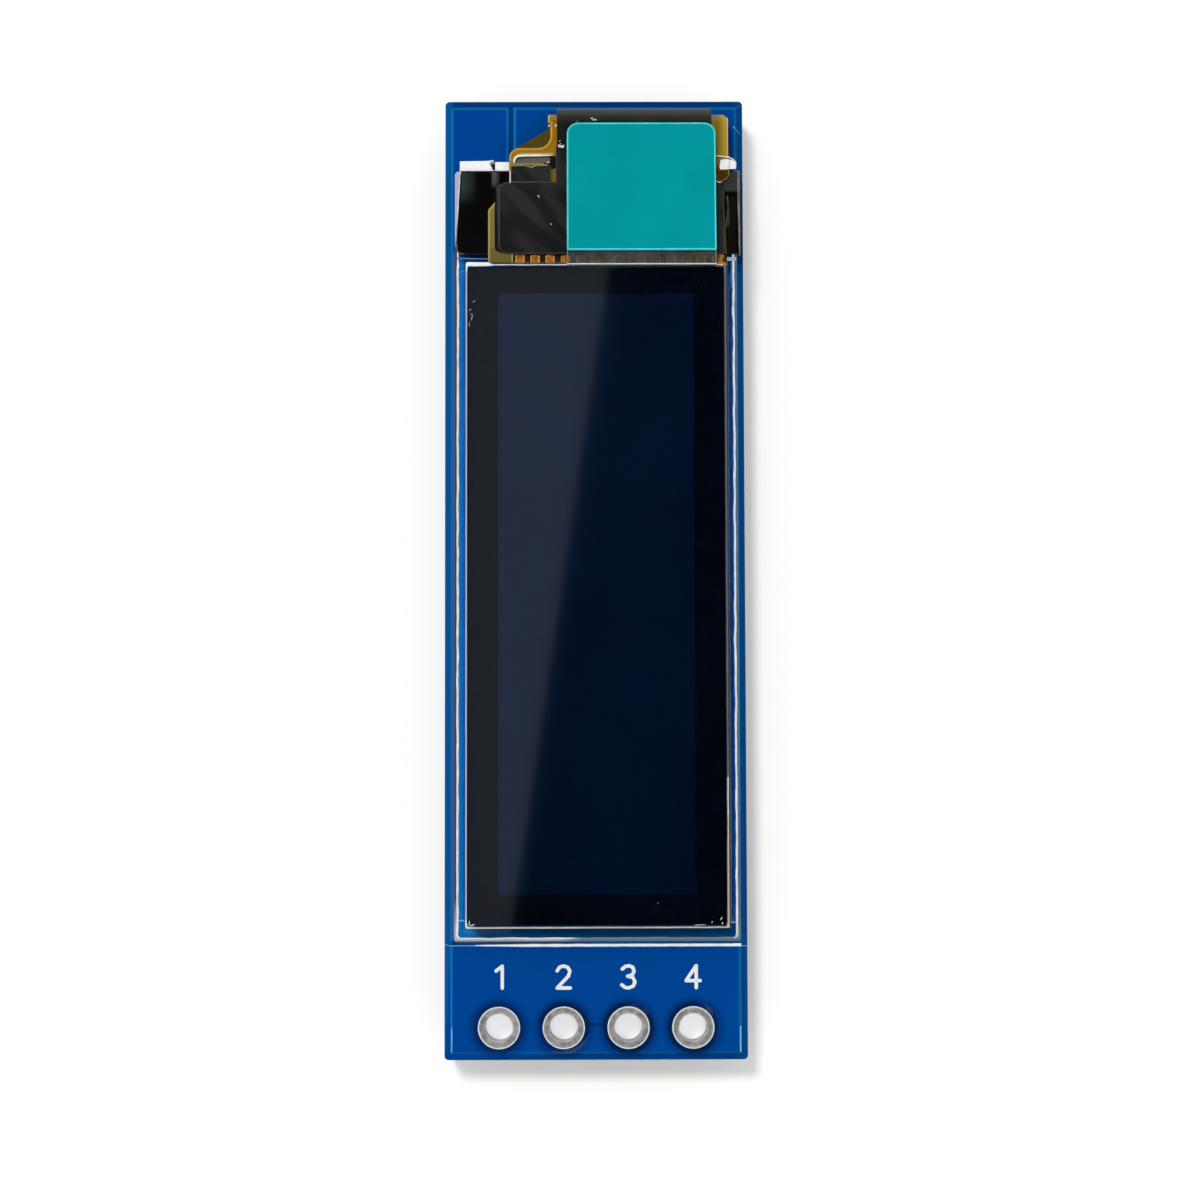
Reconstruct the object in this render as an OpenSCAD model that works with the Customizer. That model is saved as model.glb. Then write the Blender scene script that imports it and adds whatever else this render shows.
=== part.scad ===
// Small OLED display module: a bare glass panel taped to a narrow circuit board,
// with its flex cable folded back under the panel and a row of plated header holes.
// The board lies on its back: X across the board, Y along it towards the flex cable,
// Z from the back components up to the display.

/* [Board] */
// Width of the circuit board
board_w = 11.9; // [11.8:0.1:13]
// Length of the circuit board
board_l = 38.1; // [37.8:0.1:41]
// Thickness of the circuit board
board_t = 1.2; // [0.8:0.1:1.6]
// Radius of the board's corners
board_corner_r = 0.3; // [0.1:0.1:0.8]
// Distance from the board's edge to the copper pour
pour_inset = 0.24; // [0.15:0.01:0.35]
// Height of the copper pour under the solder mask
pour_relief = 0.04; // [0.02:0.01:0.05]

/* [Header holes] */
// Distance between header holes
hole_pitch = 2.54; // [2.5:0.01:2.6]
// Radius of the plated hole
hole_r = 0.55; // [0.45:0.01:0.6]
// Outer radius of the ring of bare metal round each hole
pad_r = 0.83; // [0.78:0.01:0.9]
// Distance from the board's end to the hole centres
hole_edge = 1.25; // [1.1:0.05:1.4]

/* [Panel] */
// Width of the rear glass
panel_w = 11.2; // [11:0.1:11.4]
// Length of the rear glass, with the ledge that carries the flex cable
panel_l = 30.5; // [30:0.1:30.6]
// Thickness of each sheet of glass
glass_t = 0.5; // [0.4:0.05:0.7]
// Width of the front glass
front_w = 10.38; // [10.3:0.01:10.6]
// Length of the front glass
front_l = 26.2; // [25.8:0.01:26.4]
// Thickness of the polarizer
polarizer_t = 0.2; // [0.15:0.01:0.25]
// Width of the viewing window
window_w = 7.65; // [7.4:0.05:8]
// Length of the viewing window
window_l = 23.55; // [22.8:0.05:24]

/* [Flex cable] */
// Thickness of the flex cable
flex_t = 0.1; // [0.08:0.01:0.12]
// Distance between the contact leads
lead_pitch = 0.62; // [0.58:0.01:0.62]
// Number of contact leads
lead_count = 14; // [10:1:14]
// Width of one contact lead
lead_w = 0.3; // [0.2:0.01:0.34]

/* [Pull tab] */
// Width of the pull tab
tab_w = 5.9; // [5:0.01:6.1]
// Length of the pull tab
tab_l = 5.2; // [4.6:0.05:5.3]
// Radius of the pull tab's free corners
tab_r = 0.45; // [0.3:0.05:0.8]

/* [Hidden] */
$fn = 48;
cut = 1;                        // how far a cutting shape runs past what it cuts
film_t = 0.05;                  // tapes and films
hole_count = 4;

// levels, from the lowest component up
package_h = 1.1;                // regulator package, the tallest thing on the back
board_z = package_h;
top_z = board_z + board_t;
tape_t = 0.2;
rear_z = top_z + tape_t;
ledge_z = rear_z + glass_t;
seal_t = 0.04;
front_z = ledge_z + seal_t;
polarizer_z = front_z + glass_t;
cover_z = polarizer_z + polarizer_t;
flex_z = ledge_z + seal_t;      // the flex cable lies on the ledge film
tape_z = flex_z + flex_t;

// the panel sits a little off the board's middle and stops short of the header holes
panel_x = 0.06;
panel_y0 = -board_l / 2 + 4.62;
panel_y1 = panel_y0 + panel_l;
panel_x0 = panel_x - panel_w / 2;
panel_x1 = panel_x + panel_w / 2;
front_x0 = panel_x - 5.15;
front_x1 = front_x0 + front_w;
front_y0 = panel_y0 + 0.55;
front_y1 = front_y0 + front_l;
polarizer_x0 = front_x0 + 0.07;
polarizer_x1 = front_x1 - 0.19;
polarizer_y0 = front_y0 + 0.12;
polarizer_y1 = front_y1 - 0.24;
window_x0 = front_x0 + 1.31;
window_y0 = front_y0 + 1.33;
film_edge_y = front_y1 + 0.4;   // where the black ledge film stops short of the front glass

// flex cable: front layer on the ledge, fold past the glass, rear layer on the board
fold_y = panel_y1 + 1.93;       // where the fold starts
rear_layer_z = top_z + film_t;
fold_r_out = (tape_z - rear_layer_z) / 2;
fold_r_in = fold_r_out - flex_t;
fold_z = rear_layer_z + fold_r_out;
neck_x0 = panel_x - 1.79;
neck_x1 = panel_x + 5.27;
fold_x0 = neck_x0 - 0.1;
arm_x = panel_x - 3.43;
arm_y = panel_y1 + 0.9;         // top edge of the shoulder
lead_x = panel_x + 0.95;        // middle of the row of contact leads
lead_span = (lead_count - 1) * lead_pitch;
lead_y0 = front_y1 - 0.09;
tail_y0 = panel_y1 - 1.7;       // end of the soldered tail under the ledge
tail_x0 = lead_x - lead_span / 2 - 0.33;
tail_x1 = lead_x + lead_span / 2 + 0.4;

// black tapes over the flex cable
tape_x0 = panel_x - 3.84;
tape_x1 = panel_x + 5.1;
tape_top_y = panel_y1 - 0.48;
column_x0 = panel_x - 1.58;
column_x1 = panel_x + 4.7;
fold_tape_x0 = panel_x - 1.53;
fold_tape_x1 = panel_x + 4.6;
fold_tape_y = panel_y1 + 1.07;
fold_tape_slack = 0.2;          // how far the tape's loop stands past the fold

// pull tab and the film that it pulls off
tab_x0 = panel_x - 1.14;
tab_y0 = front_y1 + 0.42;
tab_t = 0.1;
film_bend_y = front_y1 + 0.06;
film_drop = cover_z - (tape_z + film_t) - 0.02;
film_end_y = tab_y0 + tab_l;

// places of the back components: [x, y, turn]
capacitors = [[2.2, -12.2, 0], [2.2, -10.2, 0], [-3.1, -5.6, 90], [-0.9, -5.6, 90],
              [3.2, 0.4, 0], [3.2, 2.4, 0], [-3.0, 7.4, 90]];
resistors = [[1.4, -5.6, 90], [3.4, -5.6, 90], [-3.2, 1.2, 0], [-3.2, 3.0, 0], [-0.6, 7.4, 90]];
capacitor_h = 0.9;
resistor_h = 0.45;
regulator_at = [-2.6, -11.2];
diode_at = [2.6, 7.6];
joint_t = 0.05;                 // solder between a part and its pad

// ---- shared shapes ----

// rectangle between two corners
module area(x0, y0, x1, y1) {
    translate([x0, y0]) square([x1 - x0, y1 - y0]);
}

// rectangle with four round corners
module rounded_area(x0, y0, x1, y1, r) {
    area(x0 + r, y0, x1 - r, y1);
    area(x0, y0 + r, x1, y1 - r);
    for (x = [x0 + r, x1 - r], y = [y0 + r, y1 - r])
        translate([x, y]) circle(r);
}

// what a round corner leaves over; turn 0 is the corner towards -X -Y
module corner_waste(x, y, r, turn) {
    translate([x, y]) rotate(turn) difference() {
        translate([-cut, -cut]) square(r + cut);
        translate([r, r]) circle(r);
        area(r, -2 * cut, 2 * r, 2 * r);
        area(-2 * cut, r, 2 * r, 2 * r);
    }
}

// a flat sheet of one outline
module sheet(z, t) {
    translate([0, 0, z]) linear_extrude(t) children();
}

// a side view in Y and Z, drawn as X and Y, carried across the module from x0 to x1
module across(x0, x1) {
    translate([x0, 0, 0]) rotate([90, 0, 90]) linear_extrude(x1 - x0) children();
}

function hole_x(i) = (i - (hole_count + 1) / 2) * hole_pitch;
hole_y = -board_l / 2 + hole_edge;
barrel_wall = 0.05;

// ---- circuit board ----

module pour_gaps() {
    gap_y = panel_y0 - 0.07;
    area(-board_w, gap_y - 0.06, board_w, gap_y + 0.06);
    area(-3.42, panel_y1 - 1, -3.22, board_l / 2);
    for (i = [1:hole_count])
        translate([hole_x(i), hole_y]) circle(pad_r + 0.2);
    for (i = [1:2])
        area(hole_x(i), hole_y + 0.02, hole_x(i + 1), hole_y + 0.2);
}

// where tapes, foam strips and the soldered tail sit straight on the board
module seats() {
    area(front_x0 + 0.1, front_y0 + 0.1, front_x1 - 0.1, front_y1 - 0.3);
    area(panel_x - 5.4, panel_y1, arm_x + 0.02, foam_y1 + 0.03);
    area(fold_tape_x0, fold_y - 0.5, fold_tape_x1, fold_y + fold_tape_slack + fold_r_out / 2);
    area(arm_x, tail_y0, tail_x1, tail_y0 + 1.6);
}

module circuit_board() color("mediumblue") difference() {
    union() {
        sheet(board_z, board_t)
            rounded_area(-board_w / 2, -board_l / 2, board_w / 2, board_l / 2, board_corner_r);
        sheet(top_z, pour_relief) difference() {
            rounded_area(-board_w / 2 + pour_inset, -board_l / 2 + pour_inset,
                         board_w / 2 - pour_inset, board_l / 2 - pour_inset, 0.1);
            pour_gaps();
            seats();
        }
    }
    for (i = [1:hole_count])
        translate([hole_x(i), hole_y, board_z - cut])
            cylinder(r = hole_r + barrel_wall, h = board_t + 2 * cut);
}

// a plated barrel with a ring of bare metal on both faces
module barrel_plating(i) color("silver") {
    ring_t = 0.05;
    translate([hole_x(i), hole_y, 0]) rotate_extrude() {
        area(hole_r, board_z - ring_t, hole_r + barrel_wall, top_z + ring_t);
        area(hole_r, board_z - ring_t, pad_r, board_z);
        area(hole_r, top_z, pad_r, top_z + ring_t);
    }
}

// ---- glass panel ----

module panel_tape() color("gainsboro")
    sheet(top_z, tape_t)
        rounded_area(front_x0 + 0.1, front_y0 + 0.1, front_x1 - 0.1, front_y1 - 0.3, 0.2);

module rear_glass() color("lightsteelblue", 0.5)
    sheet(rear_z, glass_t)
        rounded_area(panel_x0, panel_y0, panel_x1, panel_y1, 0.15);

module edge_seal() color("dimgray") sheet(ledge_z, seal_t) difference() {
    area(front_x0 + 0.1, front_y0 + 0.1, front_x1 - 0.1, front_y1 - 0.2);
    area(front_x0 + 0.9, front_y0 + 0.9, front_x1 - 0.9, front_y1 - 0.9);
}

module emitter_stack() color("midnightblue")
    sheet(ledge_z, seal_t * 0.75)
        area(window_x0, window_y0, window_x0 + window_w, window_y0 + window_l);

module front_glass() color("lightsteelblue", 0.5)
    sheet(front_z, glass_t)
        rounded_area(front_x0, front_y0, front_x1, front_y1, 0.1);

module polarizer_outline(inset) {
    rounded_area(polarizer_x0 + inset, polarizer_y0 + inset,
                 polarizer_x1 - inset, polarizer_y1 - inset, 0.15);
}

module polarizer() color("black") sheet(polarizer_z, polarizer_t) polarizer_outline(0);

// height of the tongue's underside at a given place along it
function tongue_z(y) = cover_z - film_drop * (y - film_bend_y) / (film_end_y - film_bend_y);

// one sloped layer of the tongue, from y0 to y1, resting `lift` above the film's underside
module tongue_layer(y0, y1, lift, t) {
    across(tab_x0, tab_x0 + tab_w)
        polygon([[y0, tongue_z(y0) + lift], [y1, tongue_z(y1) + lift],
                 [y1, tongue_z(y1) + lift + t], [y0, tongue_z(y0) + lift + t]]);
}

module tab_outline(y0, y1) {
    difference() {
        area(tab_x0, y0, tab_x0 + tab_w, y1);
        corner_waste(tab_x0, y1, tab_r, -90);
        corner_waste(tab_x0 + tab_w, y1, tab_r, 180);
    }
}

// clear film over the polarizer, with a tongue that slopes down over the flex cable
module protective_film() color("white", 0.3) {
    sheet(cover_z, film_t) polarizer_outline(0.04);
    sheet(cover_z, film_t) area(tab_x0, polarizer_y1 - 0.5, tab_x0 + tab_w, film_bend_y);
    intersection() {
        tongue_layer(film_bend_y, film_end_y, 0, film_t);
        sheet(0, 2 * cover_z) tab_outline(film_bend_y, film_end_y);
    }
}

module pull_tab() color("darkcyan") intersection() {
    tongue_layer(tab_y0, film_end_y, film_t, tab_t);
    sheet(0, 2 * cover_z) tab_outline(tab_y0, film_end_y);
}

// ---- ledge and flex cable ----

module ledge_film() color([0.08, 0.08, 0.08]) sheet(ledge_z, seal_t) {
    lean = 0.22;
    x0 = panel_x0 + 0.06;
    x1 = panel_x1;
    difference() {
        polygon([[x0, film_edge_y], [x1, film_edge_y], [x1, panel_y1], [x0 + lean, panel_y1],
                 [x0, film_edge_y + 0.8]]);
        corner_waste(x0, film_edge_y, 0.2, 0);
    }
}

// front layer: bonded end, body, S-shaped shoulder and neck
module flex_front_outline() {
    end_x0 = panel_x - 4.27;
    shoulder_r = 0.5;
    difference() {
        union() {
            polygon([[end_x0, front_y1], [tape_x0 + 0.56, front_y1],
                     [tape_x0 + 0.56, film_edge_y], [panel_x + 5.2, film_edge_y],
                     [panel_x + 5.05, panel_y1 - 0.38], [neck_x1, panel_y1],
                     [neck_x1, fold_y], [neck_x0, fold_y],
                     [neck_x0, arm_y - shoulder_r], [arm_x, arm_y - shoulder_r],
                     [arm_x, film_edge_y + 2.15], [end_x0 + 0.34, film_edge_y + 2.15],
                     [end_x0, film_edge_y + 1.76]]);
            area(arm_x, panel_y1, neck_x0, arm_y);
            area(neck_x0 - shoulder_r, arm_y, neck_x0, arm_y + shoulder_r);
        }
        translate([neck_x0 - shoulder_r, arm_y + shoulder_r]) circle(shoulder_r);
        corner_waste(arm_x, arm_y, 0.4, -90);
        // window that shows the bond between the flex cable and the glass
        difference() {
            area(arm_x + 0.25, panel_y1 + 0.3, neck_x0 + 0.02, arm_y - 0.26);
            corner_waste(arm_x + 0.25, arm_y - 0.26, 0.25, -90);
        }
    }
}

// rear layer: flares back to the width of the soldered tail
module flex_rear_outline() {
    polygon([[fold_x0, fold_y], [neck_x1, fold_y], [neck_x1, fold_y - 0.2],
             [tail_x1, panel_y1 + 0.6], [tail_x1, tail_y0], [tail_x0, tail_y0],
             [tail_x0, fold_y - 1.2], [tail_x0 + 0.25, fold_y - 0.85], [fold_x0, fold_y - 0.12]]);
}

// the fold seen from above, with its corners taken off
module fold_outline() {
    end_y = fold_y + fold_r_out;
    difference() {
        area(fold_x0, fold_y, neck_x1, end_y + cut);
        polygon([[fold_x0 - cut, end_y - 0.08], [fold_x0, end_y - 0.08], [fold_x0 + 0.08, end_y],
                 [fold_x0 + 0.08, end_y + 2 * cut], [fold_x0 - cut, end_y + 2 * cut]]);
        polygon([[neck_x1 + cut, end_y - 0.24], [neck_x1, end_y - 0.24], [neck_x1 - 0.2, end_y],
                 [neck_x1 - 0.2, end_y + 2 * cut], [neck_x1 + cut, end_y + 2 * cut]]);
    }
}

// half ring round the fold's axis, between two radii
module fold_ring(r_in, r_out, x0, x1) {
    translate([x0, fold_y, fold_z]) rotate([0, 90, 0]) difference() {
        cylinder(r = r_out, h = x1 - x0);
        translate([0, 0, -cut]) cylinder(r = r_in, h = x1 - x0 + 2 * cut);
        translate([-2 * r_out, -2 * r_out, -cut]) cube([4 * r_out, 2 * r_out, x1 - x0 + 2 * cut]);
    }
}

module flex_cable() color("darkgoldenrod") {
    sheet(flex_z, flex_t) flex_front_outline();
    sheet(rear_layer_z, flex_t) flex_rear_outline();
    intersection() {
        fold_ring(fold_r_in, fold_r_out, fold_x0, neck_x1);
        sheet(0, 2 * cover_z) fold_outline();
    }
}

// bare copper fingers that run from the flex cable down onto the glass
module contact_leads() color("goldenrod")
    for (i = [0:lead_count - 1])
        translate([lead_x - lead_span / 2 + i * lead_pitch - lead_w / 2, lead_y0, ledge_z])
            cube([lead_w, film_edge_y - lead_y0, seal_t]);

module tail_solder() color("silver")
    for (i = [0:lead_count - 1])
        translate([lead_x - lead_span / 2 + i * lead_pitch - lead_w / 2, tail_y0 + 0.1, top_z])
            cube([lead_w, 1.4, film_t]);

// driver die on the underside of the flex cable, just past the glass
module driver_chip() color("dimgray") {
    die_l = 6.76;
    die_w = 0.86;
    die_t = 0.3;
    translate([neck_x1 - 0.1 - die_l, panel_y1 + 0.45, flex_z - die_t])
        cube([die_l, die_w, die_t]);
}

// bead of clear resin along the end of the ledge, under the flex cable
module bond_resin() color("lightgray") sheet(rear_z, flex_z - rear_z) difference() {
    union() {
        area(arm_x + 0.2, panel_y1, neck_x1 - 0.3, panel_y1 + 0.3);
        area(arm_x + 0.2, panel_y1, neck_x0 + 0.02, panel_y1 + 0.62);
    }
    corner_waste(arm_x + 0.2, panel_y1 + 0.62, 0.25, -90);
}

// black tape over the driver end of the flex cable: adhesive layer, then a smaller film
module chip_tape_outline(grow) {
    chamfer = 0.16;
    x0 = tape_x0 - grow;
    y0 = film_edge_y;
    top = tape_top_y;
    difference() {
        union() {
            area(x0, y0, tape_x1, top);
            area(column_x0, top - cut, column_x1, fold_tape_y - 0.12);
        }
        corner_waste(x0, y0, 0.36 + grow, 0);
        polygon([[x0 - cut, top - chamfer], [x0, top - chamfer], [x0 + 1.7 * chamfer, top],
                 [x0 + 1.7 * chamfer, top + cut], [x0 - cut, top + cut]]);
    }
}

module chip_tape() color([0.13, 0.13, 0.13]) {
    adhesive_t = 0.02;
    sheet(tape_z, adhesive_t) chip_tape_outline(0.14);
    sheet(tape_z + adhesive_t, film_t - adhesive_t) chip_tape_outline(0);
}

// short black tape across the flex cable's shoulder
module shoulder_tape() color([0.16, 0.15, 0.12])
    sheet(tape_z, film_t) area(arm_x + 0.07, tape_top_y, neck_x0 + 0.02, panel_y1 + 0.2);

// black tape wrapped round the fold
module fold_tape() color([0.22, 0.21, 0.2]) {
    loop_y = fold_y + fold_tape_slack;
    sheet(tape_z, film_t) area(fold_tape_x0, fold_tape_y, fold_tape_x1, loop_y);
    translate([0, fold_tape_slack, 0])
        fold_ring(fold_r_out, fold_r_out + film_t, fold_tape_x0, fold_tape_x1);
    sheet(top_z, film_t) area(fold_tape_x0, fold_y - 0.5, fold_tape_x1, loop_y);
}

// ---- white foam and liner at the ledge's end ----

foam_y1 = panel_y1 + 0.38;

// left strip, torn to a barbed point on its right end
module foam_left() color("white") sheet(top_z, glass_t + tape_t - 0.04) {
    x0 = panel_x - 5.4;
    x1 = panel_x - 4.12;
    polygon([[x0, panel_y1], [x1 + 0.02, panel_y1], [x1 - 0.04, panel_y1 + 0.1],
             [x1 + 0.04, panel_y1 + 0.16], [x1 - 0.02, panel_y1 + 0.3],
             [x1 + 0.08, foam_y1 + 0.03], [x1 - 0.12, foam_y1 + 0.01], [x0, foam_y1]]);
}

module foam_middle() color("white")
    sheet(top_z, glass_t + tape_t - 0.02)
        area(panel_x - 4, panel_y1, arm_x + 0.02, foam_y1);

// curled end of liner on the right edge of the flex cable
module liner_right() color("white") sheet(tape_z, film_t) intersection() {
    x1 = panel_x + 5.58;
    translate([x1 - 0.62, panel_y1]) difference() {
        circle(0.62);
        circle(0.12);
    }
    area(x1 - 0.58, panel_y1, x1, panel_y1 + 0.56);
}

// ---- back of the board ----

// carries a part to its place on the back; the part is drawn with +Z away from the board
module on_back(place) {
    translate([place[0], place[1], board_z]) rotate([180, 0, place[2]]) children();
}

// chip part with a metal cap at each end
module chip_part(h) {
    l = 1.6;
    w = 0.8;
    cap = 0.32;
    step = 0.02;
    translate([0, 0, joint_t]) {
        translate([-l / 2 + cap, -w / 2 + step, step])
            cube([l - 2 * cap, w - 2 * step, h - 2 * step]);
        for (x = [-l / 2, l / 2 - cap])
            translate([x, -w / 2, 0]) cube([cap, w, h]);
    }
}

// solder under one end of a part and up its face; drawn for the end towards +X
module end_fillet(end_x, under, w, climb) {
    translate([0, w / 2, 0]) rotate([90, 0, 0]) linear_extrude(w)
        polygon([[end_x - under, 0], [end_x + 0.3, 0], [end_x + 0.26, joint_t],
                 [end_x, climb], [end_x, joint_t], [end_x - under, joint_t]]);
}

module both_ends(end_x, under, w, climb) {
    for (turn = [0, 180]) rotate(turn) end_fillet(end_x, under, w, climb);
}

// moulded package with drafted sides, standing `gap` off the board
module package(l, w, h, gap) {
    draft = 0.07;
    mid = gap + h / 2;
    intersection() {
        translate([0, w, 0]) rotate([90, 0, 0]) linear_extrude(2 * w)
            polygon([[-l / 2 + draft, gap], [l / 2 - draft, gap], [l / 2, mid],
                     [l / 2 - draft, gap + h], [-l / 2 + draft, gap + h], [-l / 2, mid]]);
        translate([-l, 0, 0]) rotate([90, 0, 90]) linear_extrude(2 * l)
            polygon([[-w / 2 + draft, gap], [w / 2 - draft, gap], [w / 2, mid],
                     [w / 2 - draft, gap + h], [-w / 2 + draft, gap + h], [-w / 2, mid]]);
    }
}

// gull-wing lead towards +X: shoulder out of the package, riser, foot
module gull_lead(root_x, foot_x, exit_z, w) {
    t = 0.12;
    riser_x = foot_x - 0.42;
    translate([0, w / 2, 0]) rotate([90, 0, 0]) linear_extrude(w)
        polygon([[root_x, exit_z], [riser_x + 0.06, exit_z], [riser_x + t, exit_z - 0.06],
                 [riser_x + t, joint_t + t], [foot_x, joint_t + t], [foot_x, joint_t],
                 [riser_x + 0.06, joint_t], [riser_x, joint_t + 0.06],
                 [riser_x, exit_z - t], [root_x, exit_z - t]]);
}

regulator_turn = 90;
regulator_gap = 0.12;
regulator_foot_x = 1.2;
module at_regulator() {
    on_back([regulator_at[0], regulator_at[1], regulator_turn]) children();
}

// two leads on one side of the package, one in the middle of the other
module each_regulator_lead() {
    for (y = [-0.95, 0.95]) translate([0, y, 0]) children();
    rotate(180) children();
}

module regulator_lead_shapes() {
    each_regulator_lead() gull_lead(0.4, regulator_foot_x, 0.66, 0.4);
}

module regulator_body() color([0.12, 0.12, 0.12]) at_regulator() difference() {
    package(1.3, 2.9, package_h - regulator_gap, regulator_gap);
    regulator_lead_shapes();
}

module regulator_leads() color("silver") at_regulator() regulator_lead_shapes();

diode_foot_x = 1.28;
module at_diode() {
    on_back([diode_at[0], diode_at[1], 90]) children();
}

module diode_lead_shapes() {
    for (turn = [0, 180]) rotate(turn) gull_lead(0.6, diode_foot_x, 0.56, 0.3);
}

module diode_body() color([0.12, 0.12, 0.12]) at_diode() difference() {
    package(1.7, 1.25, 0.85, 0.1);
    diode_lead_shapes();
}

module diode_leads() color("silver") at_diode() diode_lead_shapes();

module back_solder() color("silver") {
    for (place = capacitors) on_back(place) both_ends(0.8, 0.32, 0.8, 0.55);
    for (place = resistors) on_back(place) both_ends(0.8, 0.32, 0.8, 0.35);
    at_regulator() each_regulator_lead() end_fillet(regulator_foot_x, 0.36, 0.4, joint_t + 0.1);
    at_diode() both_ends(diode_foot_x, 0.36, 0.3, joint_t + 0.1);
}

circuit_board();
for (i = [1:hole_count])
    barrel_plating(i);
panel_tape();
rear_glass();
edge_seal();
emitter_stack();
front_glass();
polarizer();
protective_film();
pull_tab();
ledge_film();
flex_cable();
contact_leads();
driver_chip();
bond_resin();
chip_tape();
shoulder_tape();
fold_tape();
foam_left();
foam_middle();
liner_right();
tail_solder();
regulator_body();
regulator_leads();
diode_body();
diode_leads();
back_solder();
for (i = [1:len(capacitors)])
    color("tan") on_back(capacitors[i - 1]) chip_part(capacitor_h);
for (i = [1:len(resistors)])
    color([0.15, 0.15, 0.15]) on_back(resistors[i - 1]) chip_part(resistor_h);
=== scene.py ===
import bpy
import bmesh
from math import cos, pi, radians, sin
from mathutils import Matrix, Vector, noise


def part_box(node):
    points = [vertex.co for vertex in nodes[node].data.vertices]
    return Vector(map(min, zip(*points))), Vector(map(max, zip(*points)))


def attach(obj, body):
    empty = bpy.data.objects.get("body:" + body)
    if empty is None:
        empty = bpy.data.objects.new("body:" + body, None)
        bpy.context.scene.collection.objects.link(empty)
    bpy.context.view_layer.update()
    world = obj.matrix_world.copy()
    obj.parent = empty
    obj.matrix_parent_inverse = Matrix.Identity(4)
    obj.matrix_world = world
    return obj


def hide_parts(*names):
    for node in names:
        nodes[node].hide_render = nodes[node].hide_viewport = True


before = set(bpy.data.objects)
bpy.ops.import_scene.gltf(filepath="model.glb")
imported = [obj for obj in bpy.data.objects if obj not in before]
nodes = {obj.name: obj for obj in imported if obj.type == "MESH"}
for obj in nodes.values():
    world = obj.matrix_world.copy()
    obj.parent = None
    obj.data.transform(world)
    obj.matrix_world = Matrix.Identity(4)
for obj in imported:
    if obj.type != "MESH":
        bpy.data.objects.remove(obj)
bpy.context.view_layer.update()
mm = 0.001
print("frame loaded with", len(nodes), "nodes")


# camera first; it looks almost straight down on the display, from a little below its middle
cameraPlace = {"location": (-0.505, -8.889, 114.275), "turn": (0.07042, -0.006052, -0.002713),
               "lens": 85, "sensor": 36}

cameraData = bpy.data.cameras.new("camera")
cameraData.lens = cameraPlace["lens"]
cameraData.sensor_width = cameraPlace["sensor"]
cameraData.clip_start = 0.001
camera = bpy.data.objects.new("camera", cameraData)
camera.location = [v * mm for v in cameraPlace["location"]]
camera.rotation_euler = cameraPlace["turn"]
bpy.context.scene.collection.objects.link(camera)
bpy.context.scene.camera = camera


def linear(hexColour):
    channels = [int(hexColour[i:i + 2], 16) / 255 for i in (1, 3, 5)]
    return tuple(c / 12.92 if c <= 0.04045 else ((c + 0.055) / 1.055) ** 2.4
                 for c in channels) + (1.0,)


# adds one node; a link's value is another node, one of its sockets, or a plain value
def addNode(tree, kind, settings=None, links=None):
    made = tree.nodes.new(kind)
    for name, value in (settings or {}).items():
        setattr(made, name, value)
    for socket, value in (links or {}).items():
        if isinstance(value, bpy.types.Node):
            value = value.outputs[0]
        if isinstance(value, bpy.types.NodeSocket):
            tree.links.new(value, made.inputs[socket])
        else:
            made.inputs[socket].default_value = value
    return made


# a Mix node for colours keeps its A, B and result on these sockets
mixA, mixB, mixResult = 6, 7, 2


def newMaterial(name, surface):
    material = bpy.data.materials.new(name)
    material.use_nodes = True
    shader = material.node_tree.nodes["Principled BSDF"]
    for socket, value in surface.items():
        shader.inputs[socket].default_value = value
    return material, material.node_tree, shader


# object coordinates in millimetres: the whole vector, then its x, y and z
def millimetres(tree):
    place = addNode(tree, "ShaderNodeTexCoord")
    whole = addNode(tree, "ShaderNodeVectorMath", {"operation": "SCALE"},
                    {0: place.outputs["Object"], "Scale": 1 / mm})
    return (whole, *addNode(tree, "ShaderNodeSeparateXYZ", links={0: whole}).outputs)


# soft noise from 0 to 1 whose blotches are about `size` mm across
def blotches(tree, place, size, detail=3, stretch=(1, 1, 1), turn=0.0):
    turned = addNode(tree, "ShaderNodeMapping", links={0: place, "Rotation": (0, 0, turn)})
    drawn = addNode(tree, "ShaderNodeMapping", links={0: turned, "Scale": stretch})
    return addNode(tree, "ShaderNodeTexNoise", links={
        "Vector": drawn, "Scale": 1 / size, "Detail": detail}).outputs[0]


# from the first colour to the second while value goes from low to high
def toned(tree, value, low, high, first, second, most=1.0):
    share = addNode(tree, "ShaderNodeMapRange", links={0: value, 1: low, 2: high, 4: most})
    return addNode(tree, "ShaderNodeMix", {"data_type": "RGBA"},
                   {0: share, mixA: first, mixB: second}).outputs[mixResult]


# 1 inside a rectangle given as (x0, y0, x1, y1), fading to 0 over soft
def patch(tree, x, y, area, soft):
    x0, y0, x1, y1 = area
    bands = []
    for value, start, end in ((x, x0, x1), (y, y0, y1)):
        off = addNode(tree, "ShaderNodeMath", {"operation": "SUBTRACT"},
                      {0: value, 1: (start + end) / 2})
        away = addNode(tree, "ShaderNodeMath", {"operation": "ABSOLUTE"}, {0: off})
        half = (end - start) / 2
        bands.append(addNode(tree, "ShaderNodeMapRange", links={
            0: away, 1: half, 2: half + soft, 3: 1.0, 4: 0.0}))
    return addNode(tree, "ShaderNodeMath", {"operation": "MULTIPLY"}, {0: bands[0], 1: bands[1]})


# lays each (area, soft, colour) over the tint, where `only` allows it
def painted(tree, tint, x, y, areas, only=1.0):
    for area, soft, colour in areas:
        inside = addNode(tree, "ShaderNodeMath", {"operation": "MULTIPLY"},
                         {0: patch(tree, x, y, area, soft), 1: only})
        tint = addNode(tree, "ShaderNodeMix", {"data_type": "RGBA"},
                       {0: inside, mixA: tint, mixB: linear(colour)}).outputs[mixResult]
    return tint


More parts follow.
